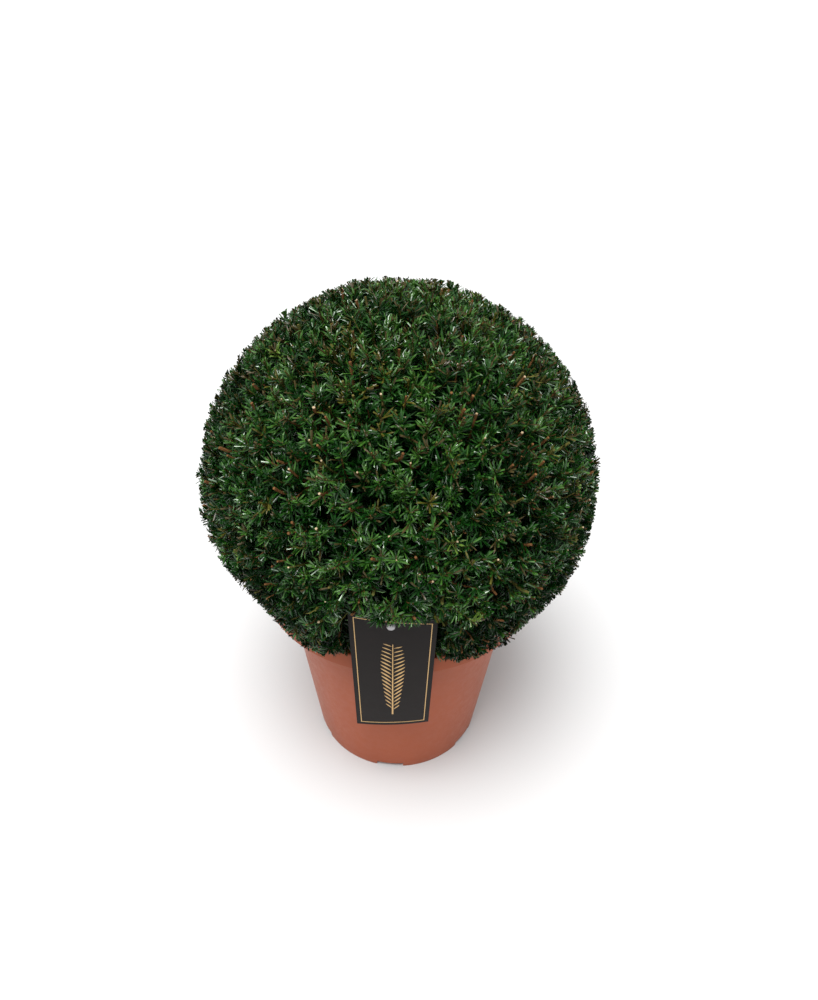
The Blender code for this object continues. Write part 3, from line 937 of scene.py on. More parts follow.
@dataclass
class GrowingMedium:
    """Moist peat that fills the pot, with a crumbly top."""

    pot: NurseryPot
    fall: float = 0.0035
    slack: float = 0.0008
    rings: int = 44
    steps: int = 128
    roughness: float = 0.0011
    rough_waves: float = 180.0
    rough_octaves: Octaves = (0.8, 2.2, 4)
    rough_most: float = 0.8
    edge_drop: float = 0.001
    crumb_count: int = 1100
    crumb_size: Pair = (0.0012, 0.0042)
    crumb_ring: Pair = (0.05, 1.0)
    crumb_waves: float = 3.0
    crumb_shift: Triple = (7.0, 1.0, 4.0)
    crumb_lumps: Pair = (0.75, 0.5)
    crumb_height: float = 0.6
    crumb_stand: float = 0.4
    rim_gap: float = 0.004
    seed: int = 5
    finish: Peat = Peat("moist_peat", (0.022, 0.014, 0.009), (0.085, 0.052, 0.030))

    def body(self) -> Object:
        """The fill: a turned plug whose top is worked into a fine relief.

        Returns:
            The piece.
        """
        low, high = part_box("growing_medium")
        top = high.z - self.roughness
        inset = self.pot.wall + self.slack
        edge = top - self.fall
        wall = self.pot.wall_radius(edge) - inset
        profile = [(0.0, top)]
        for ring in range(1, self.rings + 1):
            share = ring / self.rings
            profile.append((wall * share, top - self.fall * share * share))
        profile += [(self.pot.wall_radius(low.z) - inset, low.z), (0.0, low.z)]
        mesh = turned("growing_medium_fill", profile, self.steps)
        for vertex in mesh.vertices:
            if vertex.co.z > edge - self.edge_drop:
                rough = noise.fractal(vertex.co * self.rough_waves, *self.rough_octaves)
                vertex.co.z += self.roughness * max(-1.0, min(self.rough_most, rough))
        return show("growing_medium_fill", mesh)

    def crumbs(self, material: Material) -> Object:
        """Bark crumbs strewn on the top by a geometry tree.

        Args:
            material: Finish of the crumbs.

        Returns:
            The piece.
        """
        chance = np.random.default_rng(self.seed)
        shift = Vector(self.crumb_shift)
        least, growth = self.crumb_lumps
        bm = bmesh.new()
        bmesh.ops.create_icosphere(bm, subdivisions=1, radius=0.5)
        for vertex in bm.verts:
            vertex.co *= least + growth * noise.noise(vertex.co * self.crumb_waves + shift)
            vertex.co.z *= self.crumb_height
        crumb = bpy.data.objects.new("crumb", settled(bm, "crumb"))
        _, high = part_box("growing_medium")
        reach = self.pot.wall_radius(high.z) - self.pot.wall - self.rim_gap
        radius = reach * np.sqrt(chance.uniform(*self.crumb_ring, self.crumb_count))
        turn = chance.uniform(0.0, FULL_TURN, self.crumb_count)
        size = chance.uniform(*self.crumb_size, self.crumb_count)
        height = high.z - self.roughness - self.fall * (radius / reach) ** 2
        height = np.minimum(height, high.z - size * self.crumb_stand)
        places = np.stack([radius * np.cos(turn), radius * np.sin(turn), height], axis=1)
        recipe = GeometryRecipe("peat_crumbs", {"Crumb": "NodeSocketObject", "Seed": "NodeSocketInt"})
        most = (FULL_TURN, FULL_TURN, FULL_TURN)
        feeds = {"Max": most, "Seed": recipe.source["Seed"]}
        tumble = recipe.add("FunctionNodeRandomValue", feeds, data_type="FLOAT_VECTOR")
        tumbled = recipe.add("FunctionNodeEulerToRotation", {"Euler": tumble.outputs[0]})
        recipe.scatter("Crumb", tumbled.outputs[0])
        spots = point_mesh("crumb_spots", places, at_size=np.repeat(size[:, None], 3, axis=1))
        values = {"Crumb": crumb, "Seed": self.seed, "Material": material}
        return recipe.make("growing_medium_crumbs", spots, values)

    def build(self) -> None:
        """Make the fill and its crumbs and hand them over."""
        material = self.finish.material()
        body = self.body()
        body.data.materials.append(material)
        hand_over(body, "growing_medium")
        hand_over(self.crumbs(material), "growing_medium", None)


# Wood


@dataclass
class Woodwork:
    """The stem with its root flare, and the five boughs, all with relief in their bark."""

    crown_centre: Vector
    stem_length: float = 0.046
    stem_rings: int = 46
    stem_sides: int = 72
    ring_crowding: float = 1.3
    lean: Pair = (0.004, 0.003)
    top_radius: float = 0.0105
    flare_radius: float = 0.0225
    flare_fall: float = 0.0105
    lobes: int = 5
    lobe_depth: float = 0.16
    lobe_turn: float = 0.7
    bough_rings: int = 34
    bough_sides: int = 24
    tilts: tuple[float, ...] = (43.0, 52.0, 38.0, 56.0, 47.0)
    turns: tuple[float, ...] = (8.0, 83.0, 150.0, 229.0, 297.0)
    start_below_fork: float = 0.024
    recess_radius: float = 0.086
    recess_height: float = 0.2135
    tip_sink: float = 0.0025
    bow: float = 0.004
    butt_radius: float = 0.0058
    tip_radius: float = 0.0042
    relief: float = 0.0007
    shreds_round: float = 3.2
    shreds_along: float = 0.16
    shred_level: float = 0.35
    shred_octaves: Octaves = (0.9, 2.1, 4)
    finish: YewBark = YewBark("yew_bark", (0.085, 0.045, 0.030), (0.21, 0.085, 0.050))
    foot: float = field(init=False)

    def __post_init__(self) -> None:
        """Read the height of the stem's foot from the frame."""
        self.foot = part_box("stem")[0].z

    def stem_axis(self, share: float) -> Vector:
        """Point on the stem's centre line.

        Args:
            share: 0 at the soil to 1 at the fork.

        Returns:
            The point.
        """
        lean = share * share * (3.0 - 2.0 * share)
        return Vector((self.lean[0] * lean, self.lean[1] * lean, self.foot + self.stem_length * share))

    def bough_line(self, index: int, count: int) -> Array:
        """Centre line of a bough, from inside the fork to the roof of the crown's hollow.

        Args:
            index: Which bough.
            count: Number of points.

        Returns:
            The points, one row each.
        """
        turn, tilt = math.radians(self.turns[index]), math.radians(self.tilts[index])
        start = self.stem_axis(1.0) - Vector((0.0, 0.0, self.start_below_fork))
        out = math.sin(tilt)
        way = Vector((out * math.cos(turn), out * math.sin(turn), math.cos(tilt)))
        offset = start - Vector((self.crown_centre.x, self.crown_centre.y, self.recess_height))
        reach = self.recess_radius + self.tip_sink
        along = offset.dot(way)
        length = -along + math.sqrt(along * along - offset.length_squared + reach * reach)
        side = way.cross(Vector((0.0, 0.0, 1.0))).normalized()
        bend = side.cross(way) * (self.bow if index % 2 else -self.bow)
        return np.array([start + way * (length * share) + bend * math.sin(math.pi * share)
                         for share in np.linspace(0.0, 1.0, count)])

    def barked(self, name: str, line: Array, radii: Array, sides: int) -> Mesh:
        """A limb along a line with shredded bark worked into its surface.

        Args:
            name: Name of the mesh.
            line: Centre line.
            radii: Radius at each of its points.
            sides: Points round the limb.

        Returns:
            The mesh.
        """
        side, other = frame_along(line)
        turns = np.arange(sides) * FULL_TURN / sides
        rings = np.empty((len(line), sides, 3))
        for row, (point, radius) in enumerate(zip(line, radii)):
            for column, turn in enumerate(turns):
                around = side[row] * math.cos(turn) + other[row] * math.sin(turn)
                spot = Vector((math.cos(turn) * self.shreds_round, math.sin(turn) * self.shreds_round,
                               row * self.shreds_along))
                rough = noise.fractal(spot, *self.shred_octaves) - self.shred_level
                rings[row, column] = point + around * (radius + self.relief * min(0.0, rough))
        return tube_mesh(name, rings)

    def stem(self) -> Object:
        """The stem, whose foot is drawn out in lobes.

        Returns:
            The piece.
        """
        shares = np.linspace(0.0, 1.0, self.stem_rings) ** self.ring_crowding
        line = np.array([self.stem_axis(share) for share in shares])
        heights = shares * self.stem_length
        flare = self.flare_radius - self.top_radius
        radii = self.top_radius + flare * np.exp(-heights / self.flare_fall)
        mesh = self.barked("stem_bark", line, radii, self.stem_sides)
        for vertex in mesh.vertices:
            depth = self.lobe_depth * math.exp(-(vertex.co.z - self.foot) / self.flare_fall)
            turn = math.atan2(vertex.co.y, vertex.co.x)
            swell = 1.0 + depth * math.cos(self.lobes * turn + self.lobe_turn)
            vertex.co.x *= swell
            vertex.co.y *= swell
        return show("stem_bark", mesh)

    def build(self) -> None:
        """Make the stem and the boughs and hand them over."""
        material = self.finish.material()
        pieces = [(self.stem(), "stem")]
        for index in range(len(self.tilts)):
            line = self.bough_line(index, self.bough_rings)
            radii = np.linspace(self.butt_radius, self.tip_radius, len(line))
            node = f"bough_{index + 1}"
            mesh = self.barked(node + "_bark", line, radii, self.bough_sides)
            pieces.append((show(node + "_bark", mesh), node))
        for piece, node in pieces:
            piece.data.materials.append(material)
            hand_over(piece, node, 60.0)


@dataclass
class Limbs:
    """Many limbs of one order, each a smooth curve from its start to its end."""

    start: Array
    leave: Array
    end: Array
    arrive: Array
    thick: Pair
    look_ahead: float = 0.02

    def at(self, rows: Array, share: Array) -> Array:
        """Points on some of the limbs.

        Args:
            rows: Which limbs.
            share: How far along each, 0 to 1, of any shape that starts with the rows.

        Returns:
            The points.
        """
        extra = (1,) * (share.ndim - 1)
        parts = (self.start, self.leave, self.end, self.arrive)
        pick = [part[rows].reshape(len(rows), *extra, 3) for part in parts]
        t = share[..., None]
        t2, t3 = t * t, t * t * t
        weights = (2.0 * t3 - 3.0 * t2 + 1.0, t3 - 2.0 * t2 + t, 3.0 * t2 - 2.0 * t3, t3 - t2)
        return sum(weight * part for weight, part in zip(weights, pick))

    def lines(self, count: int) -> Array:
        """Every limb's points.

        Args:
            count: Points on each limb.

        Returns:
            Array of limb, point and coordinate.
        """
        rows = np.arange(len(self.start))
        return self.at(rows, np.tile(np.linspace(0.0, 1.0, count), (len(rows), 1)))

    def directions(self, rows: Array, share: Array) -> Array:
        """Unit directions of some of the limbs at a share of their length each."""
        ahead = self.at(rows, np.minimum(share + self.look_ahead, 1.0))
        return unit(ahead - self.at(rows, share - self.look_ahead))

    def __len__(self) -> int:
        """Number of limbs."""
        return len(self.start)


# Crown


@dataclass
class CrownSpace:
    """The room that the crown may fill: the clipped ball, clear of the pot and the label."""

    pot: NurseryPot
    label: "HangingLabel"
    centre: Vector = field(default_factory=lambda: Vector((-0.0016, 0.0, 0.3023)))
    gap: float = 0.0006
    flat: Pair = (0.078, 0.044)
    flat_side: float = 0.35
    flat_top: Pair = (-0.05, -0.2)
    flat_fall: Pair = (0.4, 0.3)
    tuck: Pair = (0.080, 0.050)
    tuck_top: float = -0.38
    tuck_fall: float = 0.2
    tuck_wave: float = 0.55
    tuck_waves: float = 15.0
    tuck_sway: float = 2.5
    tuck_sways: float = 4.0
    strays: tuple[tuple[Triple, float], ...] = (
        ((0.995, -0.062, -0.084), 0.0055), ((0.174, 0.580, 0.795), 0.0025), ((-0.99, 0.03, 0.06), 0.0035),
        ((0.543, -0.667, -0.511), 0.0080), ((-0.62, 0.45, 0.63), 0.0020))
    stray_width: float = 0.032
    droop: float = -0.0105
    overshoot: float = 0.0020
    lowest: float = field(init=False)
    reach: float = field(init=False)

    def __post_init__(self) -> None:
        """Read the crown's reach from the frame."""
        low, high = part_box("foliage")
        self.lowest = low.z - self.droop
        self.reach = high.z - self.centre.z + self.overshoot

    def clip_radius(self, ways: Array) -> Array:
        """Radius of the clipped ball: flatter low on its sides, and tucked in over the rim.

        Args:
            ways: Directions from its centre.

        Returns:
            The radius for each.
        """
        left = ways[:, 0] < 0.0
        aside = np.clip((np.abs(ways[:, 0]) - self.flat_side) / self.flat_side, 0.0, 1.0)
        fall = np.where(left, *self.flat_fall)
        below = np.clip((np.where(left, *self.flat_top) - ways[:, 2]) / fall, 0.0, 1.0)
        under = np.clip((self.tuck_top - ways[:, 2]) / self.tuck_fall, 0.0, 1.0)
        flat = np.where(left, *self.flat) * aside * below
        turn = np.arctan2(ways[:, 1], ways[:, 0])
        sway = self.tuck_sway * np.sin(self.tuck_sways * turn)
        wave = 1.0 + self.tuck_wave * np.sin(self.tuck_waves * turn + sway)
        tuck = np.where(left, *self.tuck) * under * wave
        radius = self.reach * (1.0 - np.maximum(flat, tuck))
        for way, extra in self.strays:
            off = 1.0 - ways @ (np.array(way) / np.linalg.norm(way))
            radius = radius + extra * np.exp(-off / self.stray_width ** 2)
        return radius

    def is_free(self, points: Array, margin: float, ease: float = 0.0) -> Array:
        """Which points are clear of the pot, its rim and the label's space.

        Args:
            points: Points to test, one row each.
            margin: Clearance that each keeps.
            ease: How far needles may hang over the label's top edge.

        Returns:
            True for each free point.
        """
        radius = np.hypot(points[:, 0], points[:, 1])
        over_pot = radius < self.pot.rim_radius + self.gap + margin
        on_pot = over_pot & (points[:, 2] < self.pot.height + self.gap + margin)
        label = self.label
        offset = points - np.array(label.top)
        out = offset @ np.array(label.out)
        beside = np.abs(offset @ np.array(label.across)) < label.top_width * 0.5 + label.margin
        behind = out < -(label.margin + label.bow + margin)
        top = ease - label.margin - label.top_slant - np.maximum(0.0, out)
        below_top = offset @ np.array(label.down) > top
        return ~on_pot & (points[:, 2] > self.lowest) & (behind | ~(beside & below_top))

    def clipped(self, roots: Array, runs: Array, reach: Array) -> Array:
        """Share of each run that stays inside the clipped ball.

        Args:
            roots: Where each starts.
            runs: From there to its tip.
            reach: The ball's radius for each.

        Returns:
            Shares, at most 1.
        """
        offset = roots - np.array(self.centre)
        along = np.einsum("ij,ij->i", offset, runs)
        squared = np.einsum("ij,ij->i", runs, runs)
        spare = reach * reach - np.einsum("ij,ij->i", offset, offset)
        root = np.sqrt(np.maximum(0.0, along * along + spare * squared))
        return np.where(spare > 0.0, np.clip((root - along) / squared, 0.0, 1.0), 0.0)


@dataclass(frozen=True)
class Order:
    """How limbs of one order stand along those of the order before, thick at foot and tip."""

    count: int
    lowest: float
    scatter: float
    shares: Pair
    thick: Pair


INNER = Order(760, -0.97, 0.05, (0.3, 1.0), (0.0012, 0.0008))


@dataclass(frozen=True)
class Filling:
    """A layer of short shoots that closes the crown behind its leafy shell. Its needles take a dark tint,
    painted shade for the crown's inside.
    """

    name: str
    order: Order
    reach: Pair
    each: int
    needle_size: tuple[Pair, float]
    tint: Tint


@dataclass(frozen=True)
class NeedleHabit:
    """How needles stand on a shoot. A pair is a range, or the values at the foot and the tip."""

    stagger: Pair = (0.2, 0.8)
    leafy_length: float = 0.024
    leafy_most: float = 0.85
    leafy_sway: Pair = (0.85, 1.15)
    crowding: float = 1.35
    cut_rise: float = 0.78
    turn_sway: float = 0.25
    flat_share: float = 0.5
    flatness: float = 0.75
    spreads: Pair = (62.0, 20.0)
    spread_power: float = 1.5
    spread_sway: float = 24.0
    size_sway: Pair = (0.68, 1.15)
    shoot_sway: Pair = (0.85, 1.1)
    width_sway: Pair = (0.85, 1.12)
    low_growth: float = 0.25
    twist: float = 0.5
    # Needles at the foot of a shoot are darker: partly the darker green of older needles, partly painted
    # shade deep in the spray; the share grows on low shoots, which is painted shade.
    old_share: float = 0.34
    painted_shade_below: float = 0.45
    greened_share: float = 0.55
    lighter_above: float = 0.82
    darker_below: float = 0.22


@dataclass(frozen=True)
class Trimming:
    """How needles are clipped and browned, and what they stay clear of."""

    sway: float = 0.0005
    blunt_below: float = 0.9
    shortest: float = 0.16
    weathered_depth: float = 0.0025
    browned_share: float = 0.16
    weathered_share: float = 0.08
    high_gain: float = 1.6
    margin: float = 0.0008
    ease: float = 0.002
    label_ease: float = 0.0135
    label_span: Pair = (-0.017, 0.031)
    cut_near: float = 0.014
    cut_behind: float = 0.009
    cut_beside: float = 0.0021


@dataclass(frozen=True)
class ToneDrift:
    """How the needles' tone runs from dark, 0, to light, 1, over the ball, in random drifts with painted
    light and shade: lighter on top and in front, darker below and on the sides.
    """

    middle: float = 0.5
    drifts: tuple[Triple, ...] = ((0.21, 4.0, 9.4), (0.10, 1.7, 3.1))
    scatter: float = 0.36
    low_scatter: float = 1.1
    # Painted light and shade: each lean raises or lowers the tone on one side of the ball, lighter on top
    # and in front, darker below and at the sides.
    painted_light_leans: tuple[tuple[float, Triple, float], ...] = (
        (-1.05, (0.0, 0.0, -1.0), 0.0), (0.22, (0.0, 0.0, 1.0), 0.2), (0.10, (0.0, -1.0, 0.0), 0.0),
        (-0.26, (1.0, 0.0, 0.0), 0.0), (-0.17, (-1.0, 0.0, 0.0), 0.0))
    steps: tuple[float, ...] = (0.20, 0.46, 0.74)
    sunny_way: Triple = (-0.10, -0.42, 0.90)
    sunny_size: float = 0.07
    olive_share: float = 0.018
    olive_high: float = 0.05
    olive_sunny: float = 0.36
    fresh_above: float = 0.988


@dataclass
class Crown:
    """The clipped ball: branches, twigs and leafy shoots that grow on from the boughs."""

    space: CrownSpace
    wood: Woodwork
    seed: int = 27
    branch: Order = Order(46, CROWN_LOWEST * 0.9, 0.08, (0.55, 1.0), (0.0032, 0.0019))
    twig: Order = Order(290, CROWN_LOWEST, 0.05, (0.5, 1.0), (0.0018, 0.0012))
    shoot: Order = Order(2550, CROWN_LOWEST, 0.028, (0.45, 1.0), (0.0012, 0.0008))
    branch_reach: float = 0.104
    leader_share: float = 0.7
    twig_reach: float = 0.139
    twig_sway: float = 0.004
    tip_depth: Pair = (0.0006, 0.0040)
    cut_depth: Pair = (0.0000, 0.0018)
    cut_share: float = 0.66
    bare_share: float = 0.20
    bare_length: Pair = (0.0030, 0.0105)
    stump_length: float = 0.0008
    faced_share: Pair = (0.22, 0.05)
    face_tilt: float = 0.5
    face_ends: Pair = (-0.0003, 0.0005)
    face_size: float = 0.96
    shown_share: float = 0.7
    young_share: Pair = (0.42, 0.78)
    stub_swell: Pair = (0.85, 1.5)
    shoot_swell: float = 0.68
    shoot_points: int = 6
    order_detail: tuple[tuple[int, int], ...] = ((9, 8), (7, 5), (4, 3), (4, 3))
    tip_room: Pair = (0.0015, 0.003)
    pull_steps: int = 7
    pull: float = 0.004
    probes: int = 12
    wood_room: Pair = (0.0010, 0.0035)
    draw_steps: int = 6
    draw_share: float = 0.8
    clump_width: float = 0.015
    clump_edge: float = 1.3
    clump_depth: float = 0.0024
    sunk_share: float = 0.13
    sunk_depth: Pair = (0.003, 0.009)
    aim: float = 1.2
    lift: float = 1.35
    lift_from: float = 0.8
    lift_most: float = 1.2
    fan: float = 0.25
    stub_aim: float = 1.5
    stub_rise: float = 1.2
    wander: float = 1.15
    needles_each: int = 43
    needle_size: tuple[Pair, float] = ((0.0124, 0.0080), 0.00146)
    habit: NeedleHabit = NeedleHabit()
    trimming: Trimming = Trimming()
    tones: ToneDrift = ToneDrift()
    drift_gain: float = 1.6
    ragged: float = 0.0027
    ragged_waves: float = 21.0
    ragged_shift: float = 6.1
    # The inner layer is near black and the middle layer dark: painted shade inside the crown.
    fillings: tuple[Filling, ...] = (
        Filling("crown_inner_shoots", INNER, (0.092, 0.136), 20, ((0.0190, 0.0190), 0.0052), Tint.SHADE),
        Filling("crown_middle_shoots", INNER, (0.136, 0.157), 26, ((0.0110, 0.0110), 0.0021), Tint.DEEP))
    tints: dict[Tint, NeedleGreen] = field(default_factory=lambda: {
        # Painted shade: near-black needles for the inside of the crown and its darkest spots.
        Tint.SHADE: NeedleGreen("needles_shade", (0.002, 0.015, 0.002), 0.08),
        Tint.DEEP: NeedleGreen("needles_deep", (0.004, 0.034, 0.003), 0.30),
        Tint.LEAF: NeedleGreen("needles_leaf", (0.0125, 0.065, 0.0055), 0.62),
        Tint.BRIGHT: NeedleGreen("needles_bright", (0.044, 0.135, 0.015), 0.84),
        Tint.OLIVE: NeedleGreen("needles_olive", (0.092, 0.086, 0.012), 0.40),
        Tint.FRESH: NeedleGreen("needles_fresh", (0.105, 0.190, 0.024), 0.55),
        Tint.BROWN: NeedleGreen("needles_brown", (0.058, 0.043, 0.014), 0.30),
    })
    # The twigs' bark is darker than the boughs': painted shade for the inside of the crown.
    twig_bark: YewBark = YewBark("twig_bark", (0.030, 0.018, 0.011), (0.070, 0.040, 0.022), 700.0)
    brown_bark: YewBark = YewBark("shoot_bark", (0.115, 0.046, 0.015), (0.215, 0.100, 0.034), 700.0, 0.2)
    young_bark: YewBark = YewBark("young_bark", (0.062, 0.076, 0.012), (0.130, 0.100, 0.020), 700.0, 0.3)
    cut_wood: YewBark = YewBark("cut_wood", (0.38, 0.27, 0.15), (0.54, 0.42, 0.27), 900.0)
    chance: np.random.Generator = field(init=False)
    centre: Array = field(init=False)

    def __post_init__(self) -> None:
        """Start the seeded draws."""
        self.chance = np.random.default_rng(self.seed)
        self.centre = np.array(self.space.centre)

    def jitter(self, count: int, size: float) -> Array:
        """Small random vectors, one row each."""
        return self.chance.uniform(-size, size, (count, 3))

    def spaced(self, order: Order) -> Array:
        """Directions of an order's tips: an even spiral with a little scatter."""
        return unit(lattice(order.count, order.lowest) + self.jitter(order.count, order.scatter))

    def drift(self, directions: Array, scale: float, shift: float) -> Array:
        """A smooth value from about -1 to 1 over the ball.

        Args:
            directions: Unit directions, one row each.
            scale: Waves over the ball's radius.
            shift: Which of many such patterns.

        Returns:
            One value for each direction.
        """
        place = Vector((shift, -shift, shift))
        values = [noise.noise(Vector(way) * scale + place) for way in directions]
        return np.array(values) * self.drift_gain

    def ragged_radius(self, directions: Array) -> Array:
        """Radius of the clipped surface, with the sprigs that stand a little out of it."""
        drift = self.drift(directions, self.ragged_waves, self.ragged_shift)
        return self.space.clip_radius(directions) + self.ragged * drift

    def first_limbs(self) -> Limbs:
        """The boughs and the leader, as the limbs that branches grow on.

        Returns:
            The limbs.
        """
        count = 8
        lines = [self.wood.bough_line(index, count) for index in range(len(self.wood.tilts))]
        fork = np.array(self.wood.stem_axis(1.0))
        top = self.centre + (0.0, 0.0, self.branch_reach * self.leader_share)
        lines.append(fork + (top - fork) * np.linspace(0.0, 1.0, count)[:, None])
        points = np.array(lines)
        leave, arrive = ((points[:, k + 1] - points[:, k]) * (count - 1) for k in (0, -2))
        thick = (self.wood.butt_radius, self.wood.tip_radius)
        return Limbs(points[:, 0], leave, points[:, -1], arrive, thick)

    def grow(self, parents: Limbs, tips: Array, ways: Array, order: Order) -> Limbs:
        """Join tips to the nearest limbs of the order before.

        Args:
            parents: Those limbs.
            tips: Where the new limbs end.
            ways: How each arrives there.
            order: How they grow.

        Returns:
            The new limbs.
        """
        aims = unit(parents.end - self.centre)
        parent = np.argmax(unit(tips - self.centre) @ aims.T, axis=1)
        share = self.chance.uniform(*order.shares, len(tips))
        start = parents.at(parent, share)
        length = np.linalg.norm(tips - start, axis=1, keepdims=True)
        leave = unit(parents.directions(parent, share) + unit(tips - start) * self.aim) * length
        return Limbs(start, leave, tips, ways * length, order.thick)

    def outward(self, directions: Array) -> Array:
        """Direction in which growth points: out of the ball below, more and more upright above."""
        lift = self.lift * np.clip(directions[:, 2:] + self.lift_from, 0.0, self.lift_most)
        return unit(directions + lift * (0.0, 0.0, 1.0) + self.jitter(len(directions), self.wander))

    def pulled_in(self, tips: Array, directions: Array) -> tuple[Array, Array]:
        """Draw tips that would touch the label or the pot back into the ball.

        Args:
            tips: Ends of shoots.
            directions: Their directions from the centre.

        Returns:
            The moved tips, and which of them are free at last.
        """
        tips = tips.copy()
        for _ in range(self.pull_steps):
            bad = ~self.space.is_free(tips, *self.tip_room)
            tips[bad] -= directions[bad] * self.pull
        return tips, self.space.is_free(tips, *self.tip_room)

    def draw_back(self, shoots: Limbs) -> None:
        """Straighten and shorten the shoots whose wood would touch the pot or the label.

        Args:
            shoots: The shoots, which are changed in place.
        """
        moved = np.zeros(len(shoots), dtype=bool)
        for _ in range(self.draw_steps):
            spots = shoots.lines(self.probes)
            free = self.space.is_free(spots.reshape(-1, 3), *self.wood_room)
            caught = ~free.reshape(len(shoots), -1).all(axis=1)
            moved |= caught
            run = (shoots.end - shoots.start)[caught] * self.draw_share
            shoots.end[caught] = shoots.start[caught] + run
            shoots.leave[caught] = run
            shoots.arrive[caught] = run
        LOG.info("crown: %d shoots drawn back from the pot and the label, %d in the last step",
                 np.count_nonzero(moved), np.count_nonzero(caught))

    def plan_limbs(self) -> tuple[Limbs, Limbs]:
        """Grow the branches and the twigs.

        Returns:
            The branches and the twigs.
        """
        ways = self.spaced(self.branch)
        tips = self.centre + ways * self.branch_reach
        branches = self.grow(self.first_limbs(), tips, self.outward(ways), self.branch)
        ways = self.spaced(self.twig)
        depth = self.chance.uniform(-self.twig_sway, self.twig_sway, (self.twig.count, 1))
        tips, free = self.pulled_in(self.centre + ways * (self.twig_reach + depth), ways)
        return branches, self.grow(branches, tips[free], self.outward(ways[free]), self.twig)

    def plan_shoots(self, twigs: Limbs) -> tuple[Limbs, Array, Array]:
        """Grow leafy shoots out to the clipped surface.

        Args:
            twigs: The limbs that they grow on.

        Returns:
            The shoots, each shoot's direction from the centre, and the bare length at its cut
            end, which is 0 for a shoot that was not cut.
        """
        chance = self.chance
        count = self.shoot.count
        ways = self.spaced(self.shoot)
        nearest = np.max(ways @ unit(twigs.end - self.centre).T, axis=1)
        edge = np.arccos(np.clip(nearest, -1.0, 1.0)) * self.space.reach / self.clump_width
        cut = chance.random(count) < self.cut_share
        near, far = (chance.uniform(*depths, count) for depths in (self.cut_depth, self.tip_depth))
        depth = np.where(cut, near, far)
        depth += self.clump_depth * np.minimum(edge, self.clump_edge) ** 2
        sunk = chance.random(count) < self.sunk_share
        depth += np.where(sunk, chance.uniform(*self.sunk_depth, count), 0.0)
        tips, free = self.pulled_in(self.centre + ways * (self.ragged_radius(ways) - depth)[:, None], ways)
        ways, tips = ways[free], tips[free]
        shoots = self.grow(twigs, tips, self.outward(ways), self.shoot)
        run = shoots.end - shoots.start
        length = np.linalg.norm(run, axis=1, keepdims=True)
        shoots.arrive = unit(unit(shoots.arrive) + unit(run) * self.fan) * length
        long = chance.random(len(tips)) < self.bare_share
        bare = np.where(long, chance.uniform(*self.bare_length, len(tips)), self.stump_length) * cut[free]
        aim = self.stub_aim * (bare > self.stump_length)[:, None]
        shoots.arrive = unit(unit(shoots.arrive) + unit(ways + (0.0, 0.0, self.stub_rise)) * aim) * length
        self.draw_back(shoots)
        return shoots, ways, bare

    def plan_inner(self, branches: Limbs, filling: Filling) -> Limbs:
        """Grow short shoots that fill the ball behind its leafy shell.

        Args:
            branches: The limbs that they stand on.
            filling: Their number and depth.

        Returns:
            The inner shoots.
        """
        ways = self.spaced(filling.order)
        reach = self.chance.uniform(*filling.reach, (filling.order.count, 1))
        tips, free = self.pulled_in(self.centre + ways * reach, ways)
        return self.grow(branches, tips[free], self.outward(ways[free]), filling.order)

    def plan_tints(self, ways: Array) -> Array:
        """Deal a tint to each shoot, in drifts, with painted light and shade that makes the top and front
        lighter and the bottom and sides darker.

        Args:
            ways: Each shoot's direction from the centre.

        Returns:
            The place of each shoot's tint in the list of tints.
        """
        tones, height = self.tones, ways[:, 2]
        value = np.full(len(ways), tones.middle)
        for share, scale, shift in tones.drifts:
            value += share * self.drift(ways, scale, shift)
        scatter = self.chance.uniform(-tones.scatter, tones.scatter, len(ways))
        value += scatter * (1.0 + tones.low_scatter * np.maximum(0.0, -height))
        # Painted light and shade: lighter on top and in front, darker below and at the sides.
        for gain, way, start in tones.painted_light_leans:
            value += gain * np.maximum(0.0, ways @ way - start)
        order = np.digitize(value, tones.steps)
        rare = self.chance.random(len(ways))
        sunny = np.exp(-np.sum((ways - tones.sunny_way) ** 2, axis=1) / tones.sunny_size)
        olive = tones.olive_share + tones.olive_high * np.maximum(0.0, height)
        order[rare < olive + tones.olive_sunny * sunny] = Tint.OLIVE.place
        order[rare > tones.fresh_above] = Tint.FRESH.place
        return order

    def needle_tints(self, tints: Array, old: Array) -> Array:
        """Deal each needle its shoot's tint or one beside it.

        Args:
            tints: Place of its shoot's tint in the list of tints, for each needle.
            old: Which needles are darker: the older needles at the foot of a shoot, partly the darker green
                of age and partly painted shade deep in the spray, with more of them on low shoots as
                painted shade.

        Returns:
            The place of each needle's own tint.
        """
        habit, bright = self.habit, Tint.BRIGHT.place
        mixed = self.chance.random(len(tints))
        greened = (tints == Tint.OLIVE.place) & (mixed < habit.greened_share)
        tint = np.where(greened, Tint.LEAF.place, tints)
        tint = np.where((tint > 0) & (tint < bright) & (mixed > habit.lighter_above), tint + 1, tint)
        tint = np.where((tint > 1) & (tint <= bright) & (mixed < habit.darker_below), tint - 1, tint)
        return np.where(old, np.minimum(tint, bright) - 1, tint)

